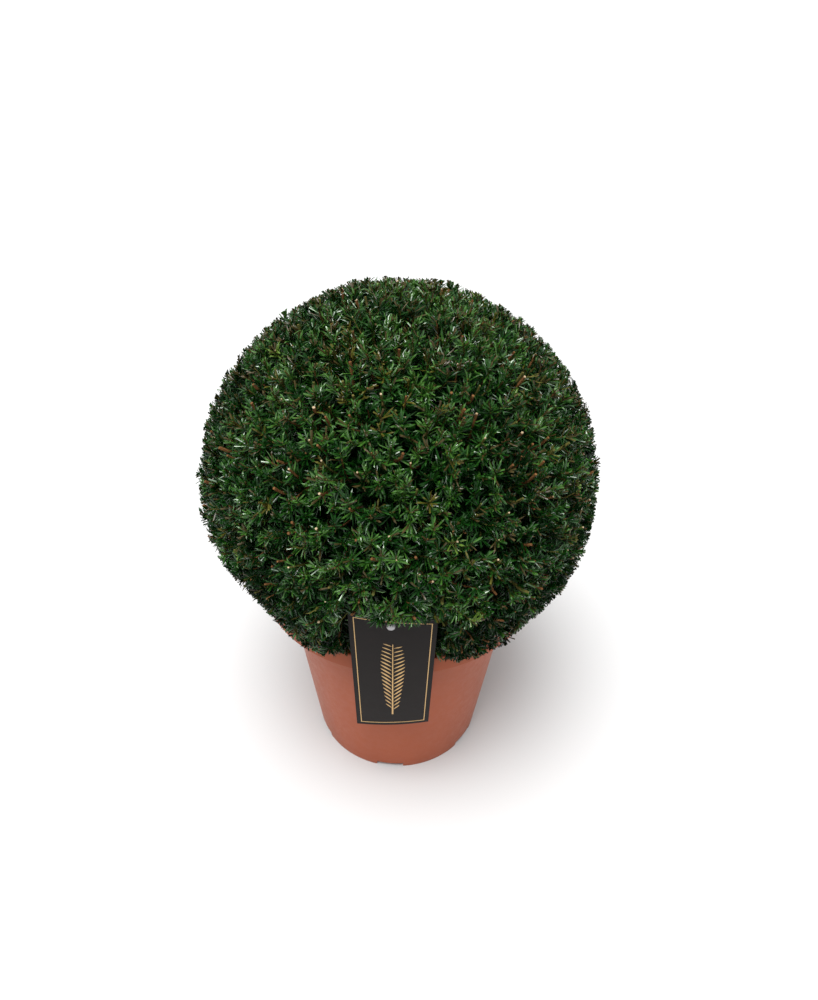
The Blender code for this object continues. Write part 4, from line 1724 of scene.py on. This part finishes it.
    def plan_needles(self, shoots: Limbs, bare: Array, tints: Array, each: int,
                     size: tuple[Pair, float]) -> dict[str, Array]:
        """Set needles on a golden spiral along the leafy end of each shoot.

        Args:
            shoots: The shoots.
            bare: Length at each shoot's end without needles.
            tints: Place of each shoot's tint in the list of tints.
            each: Needles on a shoot.
            size: Length of a needle at the foot and at the tip of the leafy end, and its width.

        Returns:
            The roots, runs, upper sides, widths, forms and tints of the needles.
        """
        chance, habit = self.chance, self.habit
        count = len(shoots)
        rows = np.repeat(np.arange(count), each)
        step = np.tile(np.arange(each), count)
        rise = (step + chance.uniform(*habit.stagger, len(step))) / each
        length = np.linalg.norm(shoots.end - shoots.start, axis=1)
        sway = chance.uniform(*habit.leafy_sway, count)
        leafy = np.minimum(habit.leafy_most, habit.leafy_length * sway / length)
        share = 1.0 - leafy[rows] * (1.0 - rise) ** habit.crowding
        leafed = (1.0 - share) * length[rows] >= bare[rows]
        rise = np.where(bare[rows] > 0.0, rise * habit.cut_rise, rise)
        roots = shoots.at(rows, share)
        axis = shoots.directions(rows, share)
        side = unit(np.cross(axis, unit(self.jitter(count, 1.0))[rows]))
        other = np.cross(axis, side)
        turn = (step * GOLDEN_ANGLE + chance.uniform(0.0, FULL_TURN, count)[rows]
                + chance.uniform(-habit.turn_sway, habit.turn_sway, len(step)))
        flat = (chance.random(count) < habit.flat_share)[rows] * habit.flatness
        aside = side * np.cos(turn)[:, None] + other * (np.sin(turn) * (1.0 - flat))[:, None]
        first, last = habit.spreads
        spread = np.radians(first + (last - first) * rise ** habit.spread_power
                            + chance.uniform(-habit.spread_sway, habit.spread_sway, len(step)))
        way = unit(axis * np.cos(spread)[:, None] + unit(aside) * np.sin(spread)[:, None])
        (low, high), width = size
        reach = (low + (high - low) * rise ** 2) * chance.uniform(*habit.size_sway, len(step))
        reach *= chance.uniform(*habit.shoot_sway, count)[rows]
        below = np.clip((self.centre[2] - shoots.end[:, 2]) / self.space.reach, 0.0, 1.0)[rows]
        reach *= 1.0 + habit.low_growth * below
        upper = unit(axis - way * np.einsum("ij,ij->i", axis, way)[:, None])
        twist = chance.uniform(-habit.twist, habit.twist, len(step))[:, None]
        upper = unit(upper * np.cos(twist) + np.cross(way, upper) * np.sin(twist))
        # Painted shade, in part: needles at the foot of a shoot, deep in the spray, take a darker tint, and
        # more of them on low shoots; older needles are also darker green.
        old = (rise < habit.old_share + habit.painted_shade_below * below) & (tints[rows] > 0)
        tint = self.needle_tints(tints[rows], old)
        widths = width * chance.uniform(*habit.width_sway, len(step))
        forms = np.where(old, NeedleForm.PLAIN, chance.integers(0, len(NeedleForm.BENDS), len(step)))
        planned = {"root": roots, "run": way * reach[:, None], "upper": upper,
                   "width": widths, "form": forms, "tint": tint}
        return {title: values[leafed] for title, values in planned.items()}

    def keep_clear(self, needles: dict[str, Array], ends: Array,
                   ways: Array) -> dict[str, Array]:
        """Shorten needles at the clipped surface and drop those that are not free.

        Args:
            needles: The planned needles.
            ends: Cut ends that stay uncovered.
            ways: Their directions.

        Returns:
            The needles that stay.
        """
        trim = self.trimming
        root = needles["root"]
        count = len(root)
        reach = self.ragged_radius(unit(root - self.centre))
        reach = reach - np.abs(self.chance.normal(0.0, trim.sway, count))
        share = self.space.clipped(root, needles["run"], reach)
        run = needles["run"] = needles["run"] * share[:, None]
        blunt = (share < trim.blunt_below) & (needles["form"] != NeedleForm.PLAIN)
        needles["form"][blunt] = NeedleForm.CLIPPED
        tip = root + run - self.centre
        length = np.linalg.norm(tip, axis=1)
        weathered = (reach - length < trim.weathered_depth) & (needles["form"] != NeedleForm.PLAIN)
        often = np.where(blunt, trim.browned_share, trim.weathered_share)
        often *= 1.0 + trim.high_gain * np.maximum(0.0, tip[:, 2] / length)
        browned = (blunt | weathered) & (self.chance.random(count) < often)
        needles["tint"][browned] = Tint.BROWN.place
        beside = root[:, 0] - self.space.label.x
        low, high = trim.label_span
        ease = np.where((beside > low) & (beside < high), trim.label_ease, trim.ease)
        keep = share > trim.shortest
        for part in (0.0, 0.5, 1.0):
            keep &= self.space.is_free(root + run * part, trim.margin, ease)
        for spot in (root + run * 0.5, root + run):
            for end, way in zip(ends, ways):
                offset = spot - end
                near = np.einsum("ij,ij->i", offset, offset) < trim.cut_near ** 2
                along = offset[near] @ way
                beside = np.linalg.norm(offset[near] - along[:, None] * way, axis=1)
                hit = (along > -trim.cut_behind) & (beside < trim.cut_beside)
                keep[np.flatnonzero(near)[hit]] = False
        return {title: values[keep] for title, values in needles.items()}

    def tubes(self) -> GeometryRecipe:
        """A tree that gives edges a round section as thick as their points say.

        Returns:
            The tree.
        """
        recipe = GeometryRecipe("tubes", {"Sides": "NodeSocketInt"})
        curve = recipe.add("GeometryNodeMeshToCurve", {"Mesh": recipe.source["Geometry"]})
        section = recipe.add(
            "GeometryNodeCurvePrimitiveCircle", {"Resolution": recipe.source["Sides"], "Radius": 1.0})
        tube = recipe.add("GeometryNodeCurveToMesh", {
            "Curve": curve.outputs[0], "Profile Curve": section.outputs[0],
            "Scale": recipe.attribute("at_thick"), "Fill Caps": True})
        recipe.finish(tube.outputs[0])
        return recipe

    def wooden(self, recipe: GeometryRecipe, name: str, lines: Array, thick: Array, sides: int,
               finish: YewBark) -> None:
        """Hand over lines as tubes.

        Args:
            recipe: The tree that makes tubes.
            name: Name of the piece.
            lines: Array of limb, point and coordinate.
            thick: Radius of each limb at each of its points.
            sides: Points round each tube.
            finish: Its finish.
        """
        count, points = lines.shape[:2]
        mesh = point_mesh(name + "_lines", lines.reshape(-1, 3), at_thick=thick.reshape(-1))
        first = (np.arange(count)[:, None] * points + np.arange(points - 1)).ravel()
        mesh.edges.add(len(first))
        mesh.edges.foreach_set("vertices", np.stack([first, first + 1], axis=1).astype(np.int32).ravel())
        piece = recipe.make(name, mesh, {"Sides": sides, "Material": finish.material()})
        hand_over(piece, "foliage", 60.0)

    def build_wood(self, orders: dict[str, Limbs], shoots: Limbs, bare: Array) -> None:
        """Make the branches, twigs, shoots and cut faces.

        Args:
            orders: The brown limbs of each lower order, by name.
            shoots: Leafy shoots.
            bare: Length of each shoot's bare cut end.
        """
        chance, count = self.chance, len(shoots)
        recipe = self.tubes()
        for (name, limbs), (points, sides) in zip(orders.items(), self.order_detail):
            thick = np.tile(np.linspace(*limbs.thick, points), (len(limbs), 1))
            # Branches, twigs and inner shoots take the darkened twig bark, painted shade.
            self.wooden(recipe, name, limbs.lines(points), thick, sides, self.twig_bark)
        stub = bare > self.stump_length
        lines = shoots.lines(self.shoot_points)
        swell = np.where(stub, chance.uniform(*self.stub_swell, count), self.shoot_swell)
        thick = np.linspace(*shoots.thick, self.shoot_points) * swell[:, None]
        young = chance.random(count) < np.where(stub, *self.young_share)
        self.wooden(recipe, "crown_shoots_brown", lines[~young], thick[~young], 5, self.brown_bark)
        self.wooden(recipe, "crown_shoots_green", lines[young], thick[young], 4, self.young_bark)
        cut = (bare > 0.0) & (chance.random(count) < np.where(stub, *self.faced_share))
        way = unit(unit(shoots.arrive[cut]) + self.jitter(np.count_nonzero(cut), self.face_tilt))[:, None]
        faces = shoots.end[cut][:, None] + way * np.array(self.face_ends)[None, :, None]
        thick = np.repeat(thick[cut, -1:], 2, axis=1) * self.face_size
        self.wooden(recipe, "crown_cut_faces", faces, thick, 5, self.cut_wood)

    def build_needles(self, needles: dict[str, Array]) -> None:
        """Make the needles, a few pieces for each tint.

        Args:
            needles: The needles that stay.
        """
        forms = NeedleForm.collection()
        recipe = GeometryRecipe("needle_sprays", {"Forms": "NodeSocketCollection"})
        shapes = recipe.add("GeometryNodeCollectionInfo", {
            "Collection": recipe.source["Forms"], "Separate Children": True, "Reset Children": True})
        placed = recipe.add("GeometryNodeInstanceOnPoints", {
            "Points": recipe.source["Geometry"], "Instance": shapes.outputs[0], "Pick Instance": True,
            "Instance Index": recipe.attribute("at_form"), "Rotation": recipe.attribute("at_turn"),
            "Scale": recipe.attribute("at_size")})
        recipe.finish(placed.outputs[0])
        for order, (tint, finish) in enumerate(self.tints.items()):
            material = finish.material()
            chosen = np.flatnonzero(needles["tint"] == order)
            batches = max(1, math.ceil(len(chosen) / NeedleForm.MOST_IN_A_PIECE))
            for batch, rows in enumerate(np.array_split(chosen, batches)):
                run = needles["run"][rows]
                size = np.linalg.norm(run, axis=1)
                upper = needles["upper"][rows]
                ahead = run / size[:, None]
                width = needles["width"][rows]
                turns = quaternions(upper, np.cross(ahead, upper), ahead)
                scale = np.stack([width, width, size], axis=1)
                mesh = point_mesh("needle_spots", needles["root"][rows], at_turn=turns, at_size=scale,
                                  at_form=needles["form"][rows])
                name = f"needles_{tint.value}_{batch + 1}"
                piece = recipe.make(name, mesh, {"Forms": forms, "Material": material})
                hand_over(piece, "foliage", None)
        NeedleForm.clear(forms)

    def build(self) -> None:
        """Grow the crown and hand its pieces over."""
        branches, twigs = self.plan_limbs()
        shoots, ways, bare = self.plan_shoots(twigs)
        tints = self.plan_tints(ways)
        outer = self.plan_needles(shoots, bare, tints, self.needles_each, self.needle_size)
        layers, orders = [outer], {"crown_branches": branches, "crown_twigs": twigs}
        for filling in self.fillings:
            inner = self.plan_inner(branches, filling)
            bald, tint = np.zeros(len(inner)), np.full(len(inner), filling.tint.place)
            layer = self.plan_needles(inner, bald, tint, filling.each, filling.needle_size)
            layer["form"][:] = NeedleForm.PLAIN
            layers.append(layer)
            orders[filling.name] = inner
        needles = {title: np.concatenate([layer[title] for layer in layers]) for title in outer}
        shown = (bare > self.stump_length) & (self.chance.random(len(bare)) < self.shown_share)
        needles = self.keep_clear(needles, shoots.end[shown], unit(shoots.arrive[shown]))
        LOG.info("crown: %d branches, %d twigs, %d shoots, %d needles, %d cut ends",
                 len(branches), len(twigs), len(shoots), len(needles["root"]), np.count_nonzero(bare))
        self.build_wood(orders, shoots, bare)
        self.build_needles(needles)


class NeedleForm:
    """The needles' shapes: flat blades with a raised midrib, a plain inner one and a clipped one."""

    MOST_IN_A_PIECE = 18500
    BENDS = ((0.35, 0.0, 0.10), (0.15, 0.9, -0.25), (-0.25, 1.5, 0.20), (0.5, -0.6, -0.15))
    RINGS = ((0.0, 0.30, 0.24), (0.76, 0.50, 0.28))
    PLAIN = len(BENDS)
    CLIPPED = PLAIN + 1

    @classmethod
    def mesh(cls, index: int) -> Mesh:
        """One form, 1 long on Z and 1 wide on Y, with its upper side towards +X.

        Args:
            index: Which form.

        Returns:
            The mesh.
        """
        if index == cls.PLAIN:
            points = [(0.0, 0.0, 0.0), (0.0, -0.5, 0.5), (0.0, 0.5, 0.5), (0.3, 0.0, 0.5), (0.0, 0.0, 1.0)]
            faces = [(0, 1, 2), (0, 2, 3), (0, 3, 1), (4, 2, 1), (4, 3, 2), (4, 1, 3)]
            return mesh_from("needle_form_plain", points, faces)
        if index == cls.CLIPPED:
            points = [(0.0, -0.34, 0.0), (0.0, 0.34, 0.0), (0.24, 0.0, 0.0)]
            points += [(0.2, -0.48, 1.0), (0.2, 0.48, 1.0), (0.45, 0.0, 1.0)]
            faces = [(0, 2, 1), (3, 4, 5), (0, 1, 4), (0, 4, 3), (1, 2, 5), (1, 5, 4), (2, 0, 3), (2, 3, 5)]
            return mesh_from("needle_form_clipped", points, faces)
        middle, tip, sway = cls.BENDS[index]
        points = []
        for height, half, rib in cls.RINGS:
            back, shift = (middle, sway) if height else (0.0, 0.0)
            points += [(back, shift - half, height), (back, shift + half, height)]
            points.append((back + rib, shift, height))
        points.append((tip, 0.0, 1.0))
        faces = [(0, 2, 1)]
        for side in range(3):
            after = (side + 1) % 3
            faces += [(side, after, 3 + after), (side, 3 + after, 3 + side), (3 + side, 3 + after, 6)]
        return mesh_from(f"needle_form_{index}", points, faces)

    @classmethod
    def collection(cls) -> Collection:
        """The forms, in a collection that the geometry tree picks from.

        Returns:
            The collection.
        """
        home = bpy.data.collections.new("needle_forms")
        for index in range(cls.CLIPPED + 1):
            home.objects.link(bpy.data.objects.new(f"needle_form_{index}", cls.mesh(index)))
        return home

    @staticmethod
    def clear(home: Collection) -> None:
        """Remove the forms once every piece is made.

        Args:
            home: The collection.
        """
        for item in list(home.objects):
            bpy.data.objects.remove(item, do_unlink=True)
        bpy.data.collections.remove(home)


# Label


@dataclass
class HangingLabel:
    """A thin tapered card, slightly bent, with a gold border and a sprig, on a white button."""

    top_width: float = 0.0682
    bottom_width: float = 0.0630
    length: float = 0.1506
    top_slant: float = 0.0035
    bottom_slant: float = 0.0030
    thickness: float = 0.0008
    lean: float = math.radians(7.0)
    x: float = -0.0026
    rim_radius: float = 0.1307
    rim_offset: float = 0.0098
    rim_height: float = 0.209
    top_z: float = 0.2778
    bow: float = 0.0022
    hole_radius: float = 0.0024
    hole_drop: float = 0.0088
    hole_aside: float = -0.0014
    margin: float = 0.0018
    columns: int = 22
    rows: int = 44
    ink: float = 0.00012
    border_inset: float = 0.0038
    border_width: float = 0.0007
    border_steps: int = 36
    sprig_length: float = 0.088
    sprig_top: float = 0.036
    leaflet_count: int = 34
    leaflet_size: Pair = (0.0128, 0.0021)
    leaflet_outline: tuple[Pair, ...] = (
        (0.0, 0.0), (0.3, 0.8), (0.62, 1.0), (0.88, 0.55),
        (1.0, 0.0), (0.88, -0.35), (0.5, -0.55), (0.2, -0.3))
    leaflet_root: Pair = (0.0006, 0.0011)
    leaflet_angle: float = math.radians(52.0)
    leaflet_fold: float = 0.55
    leaflet_growth: Pair = (0.45, 0.55)
    leaflet_swell: Pair = (0.12, 0.80)
    stalk_ends: Pair = (0.004, 0.009)
    stalk_half: Pair = (0.00028, 0.00042)
    stalk_rows: int = 40
    button_radius: float = 0.0034
    button_thickness: float = 0.0022
    button_gap: float = 0.0003
    button_dome: tuple[Triple, ...] = ((0.78, 0.92, 0.0006), (1.0, 0.4, 0.0007))
    button_bend: float = 0.0003
    button_steps: int = 48
    shank_radius: float = 0.0015
    shank_share: float = 0.985
    punch_depth: float = 0.02
    probe: float = 0.05
    front: PrintedCard = PrintedCard(
        "charcoal_card", (0.0105, 0.0080, 0.0075), (0.017, 0.0135, 0.0125), shine=0.08)
    edge: PrintedCard = PrintedCard("card_edge", (0.30, 0.29, 0.27), (0.22, 0.21, 0.20))
    gold: PrintedCard = PrintedCard(
        "gold_ink", (0.60, 0.38, 0.15), (0.50, 0.30, 0.12), (0.30, 0.45), 0.25)
    # The white plastic is coloured mid grey: painted shade on the button.
    plastic: MouldedPlastic = MouldedPlastic(
        "white_plastic", (0.50, 0.49, 0.50), (0.42, 0.41, 0.41))
    down: Vector = field(init=False)
    across: Vector = field(init=False)
    out: Vector = field(init=False)
    top: Vector = field(init=False)

    def __post_init__(self) -> None:
        """Work out the card's directions and the middle of its top edge."""
        self.down = Vector((0.0, math.sin(self.lean), -math.cos(self.lean)))
        self.across = Vector((1.0, 0.0, 0.0))
        self.out = Vector((0.0, -math.cos(self.lean), -math.sin(self.lean)))
        at_rim = Vector((self.x, -(self.rim_radius + self.rim_offset), self.rim_height))
        self.top = at_rim - self.down * ((self.top_z - self.rim_height) / math.cos(self.lean))

    def width(self, drop: float) -> float:
        """The card's width at a drop of 0, its top, to 1, its bottom."""
        return self.top_width + (self.bottom_width - self.top_width) * drop

    def point(self, side: float, drop: float, proud: float = 0.0) -> Vector:
        """A point of the card.

        Args:
            side: -1 at the left edge to 1 at the right.
            drop: 0 at the top edge to 1 at the bottom.
            proud: Distance in front of its middle surface.

        Returns:
            The point.
        """
        width = self.width(drop)
        slant = side * (self.top_slant * (1.0 - drop) - self.bottom_slant * drop)
        flat = self.top + self.across * (side * width * 0.5) + self.down * (self.length * drop + slant)
        tilt = self.across * (-4.0 * self.bow * side / width)
        return flat + self.out * (proud - self.bow * side * side) - tilt * proud

    def printed(self, mesh: Mesh) -> None:
        """Lay a flat drawing on the card: x is across from the middle, y down, z the ink's height.

        Args:
            mesh: The drawing, which is changed in place.
        """
        for vertex in mesh.vertices:
            drop = vertex.co.y / self.length
            proud = self.thickness * 0.5 + vertex.co.z
            vertex.co = self.point(vertex.co.x / (self.width(drop) * 0.5), drop, proud)
        face_outwards(mesh)

    def hole(self) -> Matrix:
        """Place of the punched hole, with Z out of the card's front.

        Returns:
            The place.
        """
        side = self.hole_aside / (self.top_width * 0.5)
        drop = self.hole_drop / self.length
        centre = self.point(side, drop)
        across = self.point(side + self.probe, drop) - centre
        down = self.point(side, drop + self.probe) - centre
        out = down.cross(across).normalized()
        return Matrix.Translation(centre) @ out.to_track_quat("Z", "Y").to_matrix().to_4x4()

    def card(self) -> Object:
        """The card, with its hole punched and its cut edges bare.

        Returns:
            The piece.
        """
        bm = bmesh.new()
        bmesh.ops.create_grid(bm, x_segments=self.columns, y_segments=self.rows, size=1.0)
        for vertex in bm.verts:
            vertex.co = self.point(vertex.co.x, 0.5 - 0.5 * vertex.co.y)
        bmesh.ops.recalc_face_normals(bm, faces=bm.faces)
        card = show("card_raw", settled(bm, "card_raw"))
        shell = card.modifiers.new("Thickness", "SOLIDIFY")
        shell.thickness = self.thickness
        shell.offset = 0.0
        shell.use_even_offset = True
        shell.material_offset_rim = 1
        bm = bmesh.new()
        add_drill(bm, self.hole_radius, self.punch_depth, self.hole())
        punch = show("punch", settled(bm, "punch"))
        for finish in (self.front, self.edge):
            card.data.materials.append(finish.material())
        return show("label_card", cut_away(card, punch))

    def border_point(self, step: int, inset: float, height: float) -> Vector:
        """A point of the flat drawing, on a line that runs round inside the card's outline.

        Args:
            step: Which point, counted from the top left corner.
            inset: Distance in from the card's edge.
            height: Height of the ink.

        Returns:
            The point.
        """
        corner, share = step // self.border_steps, step % self.border_steps / self.border_steps
        low, high = inset, self.length - inset
        ends = [(-1.0, low), (1.0, low), (1.0, high), (-1.0, high)]
        (side, drop), (next_side, next_drop) = ends[corner], ends[(corner + 1) % 4]
        drop += (next_drop - drop) * share
        side += (next_side - side) * share
        width = self.width(drop / self.length)
        return Vector((side * (width * 0.5 - inset), drop, height))

    def border(self) -> Object:
        """A thin gold line round the card, a little in from its edge.

        Returns:
            The piece.
        """
        bm = bmesh.new()
        steps = 4 * self.border_steps
        outer, inner = self.border_inset, self.border_inset + self.border_width
        loops = []
        for inset, height in ((outer, 0.0), (outer, self.ink), (inner, self.ink), (inner, 0.0)):
            spots = [self.border_point(step, inset, height) for step in range(steps)]
            loops.append([bm.verts.new(spot) for spot in spots])
        for row, here in enumerate(loops):
            there = loops[(row + 1) % len(loops)]
            for step in range(steps):
                after = (step + 1) % steps
                bm.faces.new((here[step], here[after], there[after], there[step]))
        mesh = settled(bm, "label_border")
        self.printed(mesh)
        return show("label_border", mesh)

    def sprig(self, material: Material) -> Object:
        """A gold sprig: leaflets set in pairs along a stalk by a geometry tree.

        Args:
            material: The ink.

        Returns:
            The piece.
        """
        long, wide = self.leaflet_size
        ends = [[(x * long, y * wide * 0.5, z) for x, y in self.leaflet_outline] for z in (0.0, self.ink)]
        leaflet = prism("leaflet", *ends)
        pair = np.arange(self.leaflet_count) // 2
        hand = np.where(np.arange(self.leaflet_count) % 2, -1.0, 1.0)
        share = pair / (self.leaflet_count // 2 - 1)
        rise = 1.0 - share
        least, growth = self.leaflet_growth
        start, run = self.leaflet_swell
        size = least + growth * np.sin(np.pi * (start + run * rise))
        aside, apart = self.leaflet_root
        drop = self.sprig_top + self.sprig_length * share + hand * apart
        spots = np.stack([hand * aside, drop, share * 0.0], axis=1)
        angle = -self.leaflet_angle * (1.0 - self.leaflet_fold * rise ** 2)
        ahead = np.stack([hand * np.cos(angle), np.sin(angle), share * 0.0], axis=1)
        upright = np.tile((0.0, 0.0, 1.0), (self.leaflet_count, 1))
        turns = quaternions(ahead, np.cross(upright, ahead), upright)
        recipe = GeometryRecipe("gold_sprig", {"Leaflet": "NodeSocketObject"})
        recipe.scatter("Leaflet", recipe.attribute("at_turn"))
        flat = np.stack([size, size, np.ones_like(size)], axis=1)
        mesh = point_mesh("leaflet_spots", spots, at_turn=turns, at_size=flat)
        piece = recipe.make("label_sprig", mesh, {"Leaflet": leaflet, "Material": material})
        self.printed(piece.data)
        return piece

    def stalk(self) -> Object:
        """The sprig's stalk, a thin tapering stroke.

        Returns:
            The piece.
        """
        above, below = self.stalk_ends
        low = self.sprig_top - above
        high = self.sprig_top + self.sprig_length + below
        thin, growth = self.stalk_half
        rings = []
        for row in range(self.stalk_rows + 1):
            share = row / self.stalk_rows
            half = thin + growth * share
            drop = low + (high - low) * share
            rings.append([(-half, drop, 0.0), (half, drop, 0.0),
                          (half, drop, self.ink), (-half, drop, self.ink)])
        mesh = tube_mesh("label_stalk", np.array(rings))
        self.printed(mesh)
        return show("label_stalk", mesh)

    def fastener(self) -> Object:
        """The white button on its shank, turned about its own axis.

        Returns:
            The piece.
        """
        face = self.thickness * 0.5 + self.button_gap
        length = (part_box("label_fastener")[1].y - self.hole().translation.y) / self.out.y
        back = -abs(length) * self.shank_share
        profile = rounded([
            (0.0, face + self.button_thickness, 0.0),
            *((self.button_radius * out, face + self.button_thickness * rise, bend)
              for out, rise, bend in self.button_dome),
            (self.button_radius, face, self.button_bend),
            (self.shank_radius, face, 0.0),
            (self.shank_radius, back, self.button_bend),
            (0.0, back, 0.0),
        ])
        mesh = turned("label_button", profile, self.button_steps)
        mesh.transform(self.hole())
        mesh.materials.append(self.plastic.material())
        return show("label_button", mesh)

    def build(self) -> None:
        """Make the card, its gold ink and its fastener and hand them over."""
        hand_over(self.card(), "label", 30.0)
        ink = self.gold.material()
        border, sprig, stalk = self.border(), self.sprig(ink), self.stalk()
        for piece in (border, stalk):
            piece.data.materials.append(ink)
        for piece in (border, sprig, stalk):
            hand_over(piece, "label", None)
        hand_over(self.fastener(), "label_fastener", 40.0)


# Studio


@dataclass
class Studio:
    """A plain pale floor, soft light and the camera at the photograph's angle."""

    floor_size: float = 160.0
    floor_colour: Colour = (0.62, 0.62, 0.62)
    floor_shade: float = 0.985
    floor_waves: float = 1.5
    floor_roughness: float = 0.8
    camera_place: Triple = (0.0074, -0.5502, 0.6808)
    camera_pitch: float = math.radians(36.13)
    camera_roll: float = math.radians(1.32)
    lens: float = 27.03
    sensor: float = 36.0
    sky: Pair = (0.12, 0.98)
    lamp_way: Triple = (-0.12, -0.31, 1.0)
    lamp_strength: float = 3.9
    lamp_angle: float = math.radians(34.0)

    def floor(self) -> None:
        """The floor."""
        bm = bmesh.new()
        bmesh.ops.create_grid(bm, x_segments=8, y_segments=8, size=self.floor_size * 0.5)
        floor = show("floor", settled(bm, "floor"))
        bench = ShaderBench("floor_paint")
        tone = bench.cloud(self.floor_waves, 2.0)
        darker = toned(self.floor_colour, self.floor_shade)
        bench.wire("Base Color", bench.blend(tone, darker, self.floor_colour))
        bench.fix(Roughness=self.floor_roughness)
        floor.data.materials.append(bench.material)

    def lamp(self) -> None:
        """A wide soft lamp far above, a little to the left and the front."""
        data = bpy.data.lights.new("overhead_lamp", "SUN")
        data.energy = self.lamp_strength
        data.angle = self.lamp_angle
        lamp = bpy.data.objects.new("overhead_lamp", data)
        lamp.rotation_euler = Vector(self.lamp_way).to_track_quat("Z", "Y").to_euler()
        bpy.context.scene.collection.objects.link(lamp)

    def world(self) -> None:
        """White light from all round, stronger from above than from the sides."""
        world = bpy.data.worlds.new("studio")
        world.use_nodes = True
        bench = NodeBench(world.node_tree)
        way = bench.add("ShaderNodeTexCoord", {}).outputs["Generated"]
        height = bench.add("ShaderNodeSeparateXYZ", {"Vector": way}).outputs["Z"]
        light = bench.tree.nodes["Background"].inputs
        light["Color"].default_value = (1.0, 1.0, 1.0, 1.0)
        bench.tree.links.new(bench.spread(height, (0.0, 1.0), self.sky), light["Strength"])
        bpy.context.scene.world = world

    def camera(self) -> None:
        """The camera, pitched down on the ball and rolled a little."""
        data = bpy.data.cameras.new("camera")
        data.lens = self.lens
        data.sensor_width = self.sensor
        data.sensor_fit = "AUTO"
        data.clip_start = 0.01
        camera = bpy.data.objects.new("camera", data)
        pitch = Matrix.Rotation(math.pi * 0.5 - self.camera_pitch, 4, "X")
        roll = Matrix.Rotation(self.camera_roll, 4, "Z")
        camera.matrix_world = Matrix.Translation(self.camera_place) @ pitch @ roll
        bpy.context.scene.collection.objects.link(camera)
        bpy.context.scene.camera = camera

    def build(self) -> None:
        """Set everything up."""
        self.floor()
        self.world()
        self.lamp()
        self.camera()
        bpy.context.scene.view_settings.view_transform = "Standard"
        bpy.context.scene.view_settings.look = "None"


def main() -> None:
    """Build every sub-assembly in order."""
    logging.basicConfig(level=logging.INFO, format="%(name)s: %(message)s")
    pot = NurseryPot()
    label = HangingLabel()
    space = CrownSpace(pot, label)
    wood = Woodwork(space.centre)
    for part in (pot, GrowingMedium(pot), wood, Crown(space, wood), label, Studio()):
        part.build()


if __name__ == "__main__":
    main()
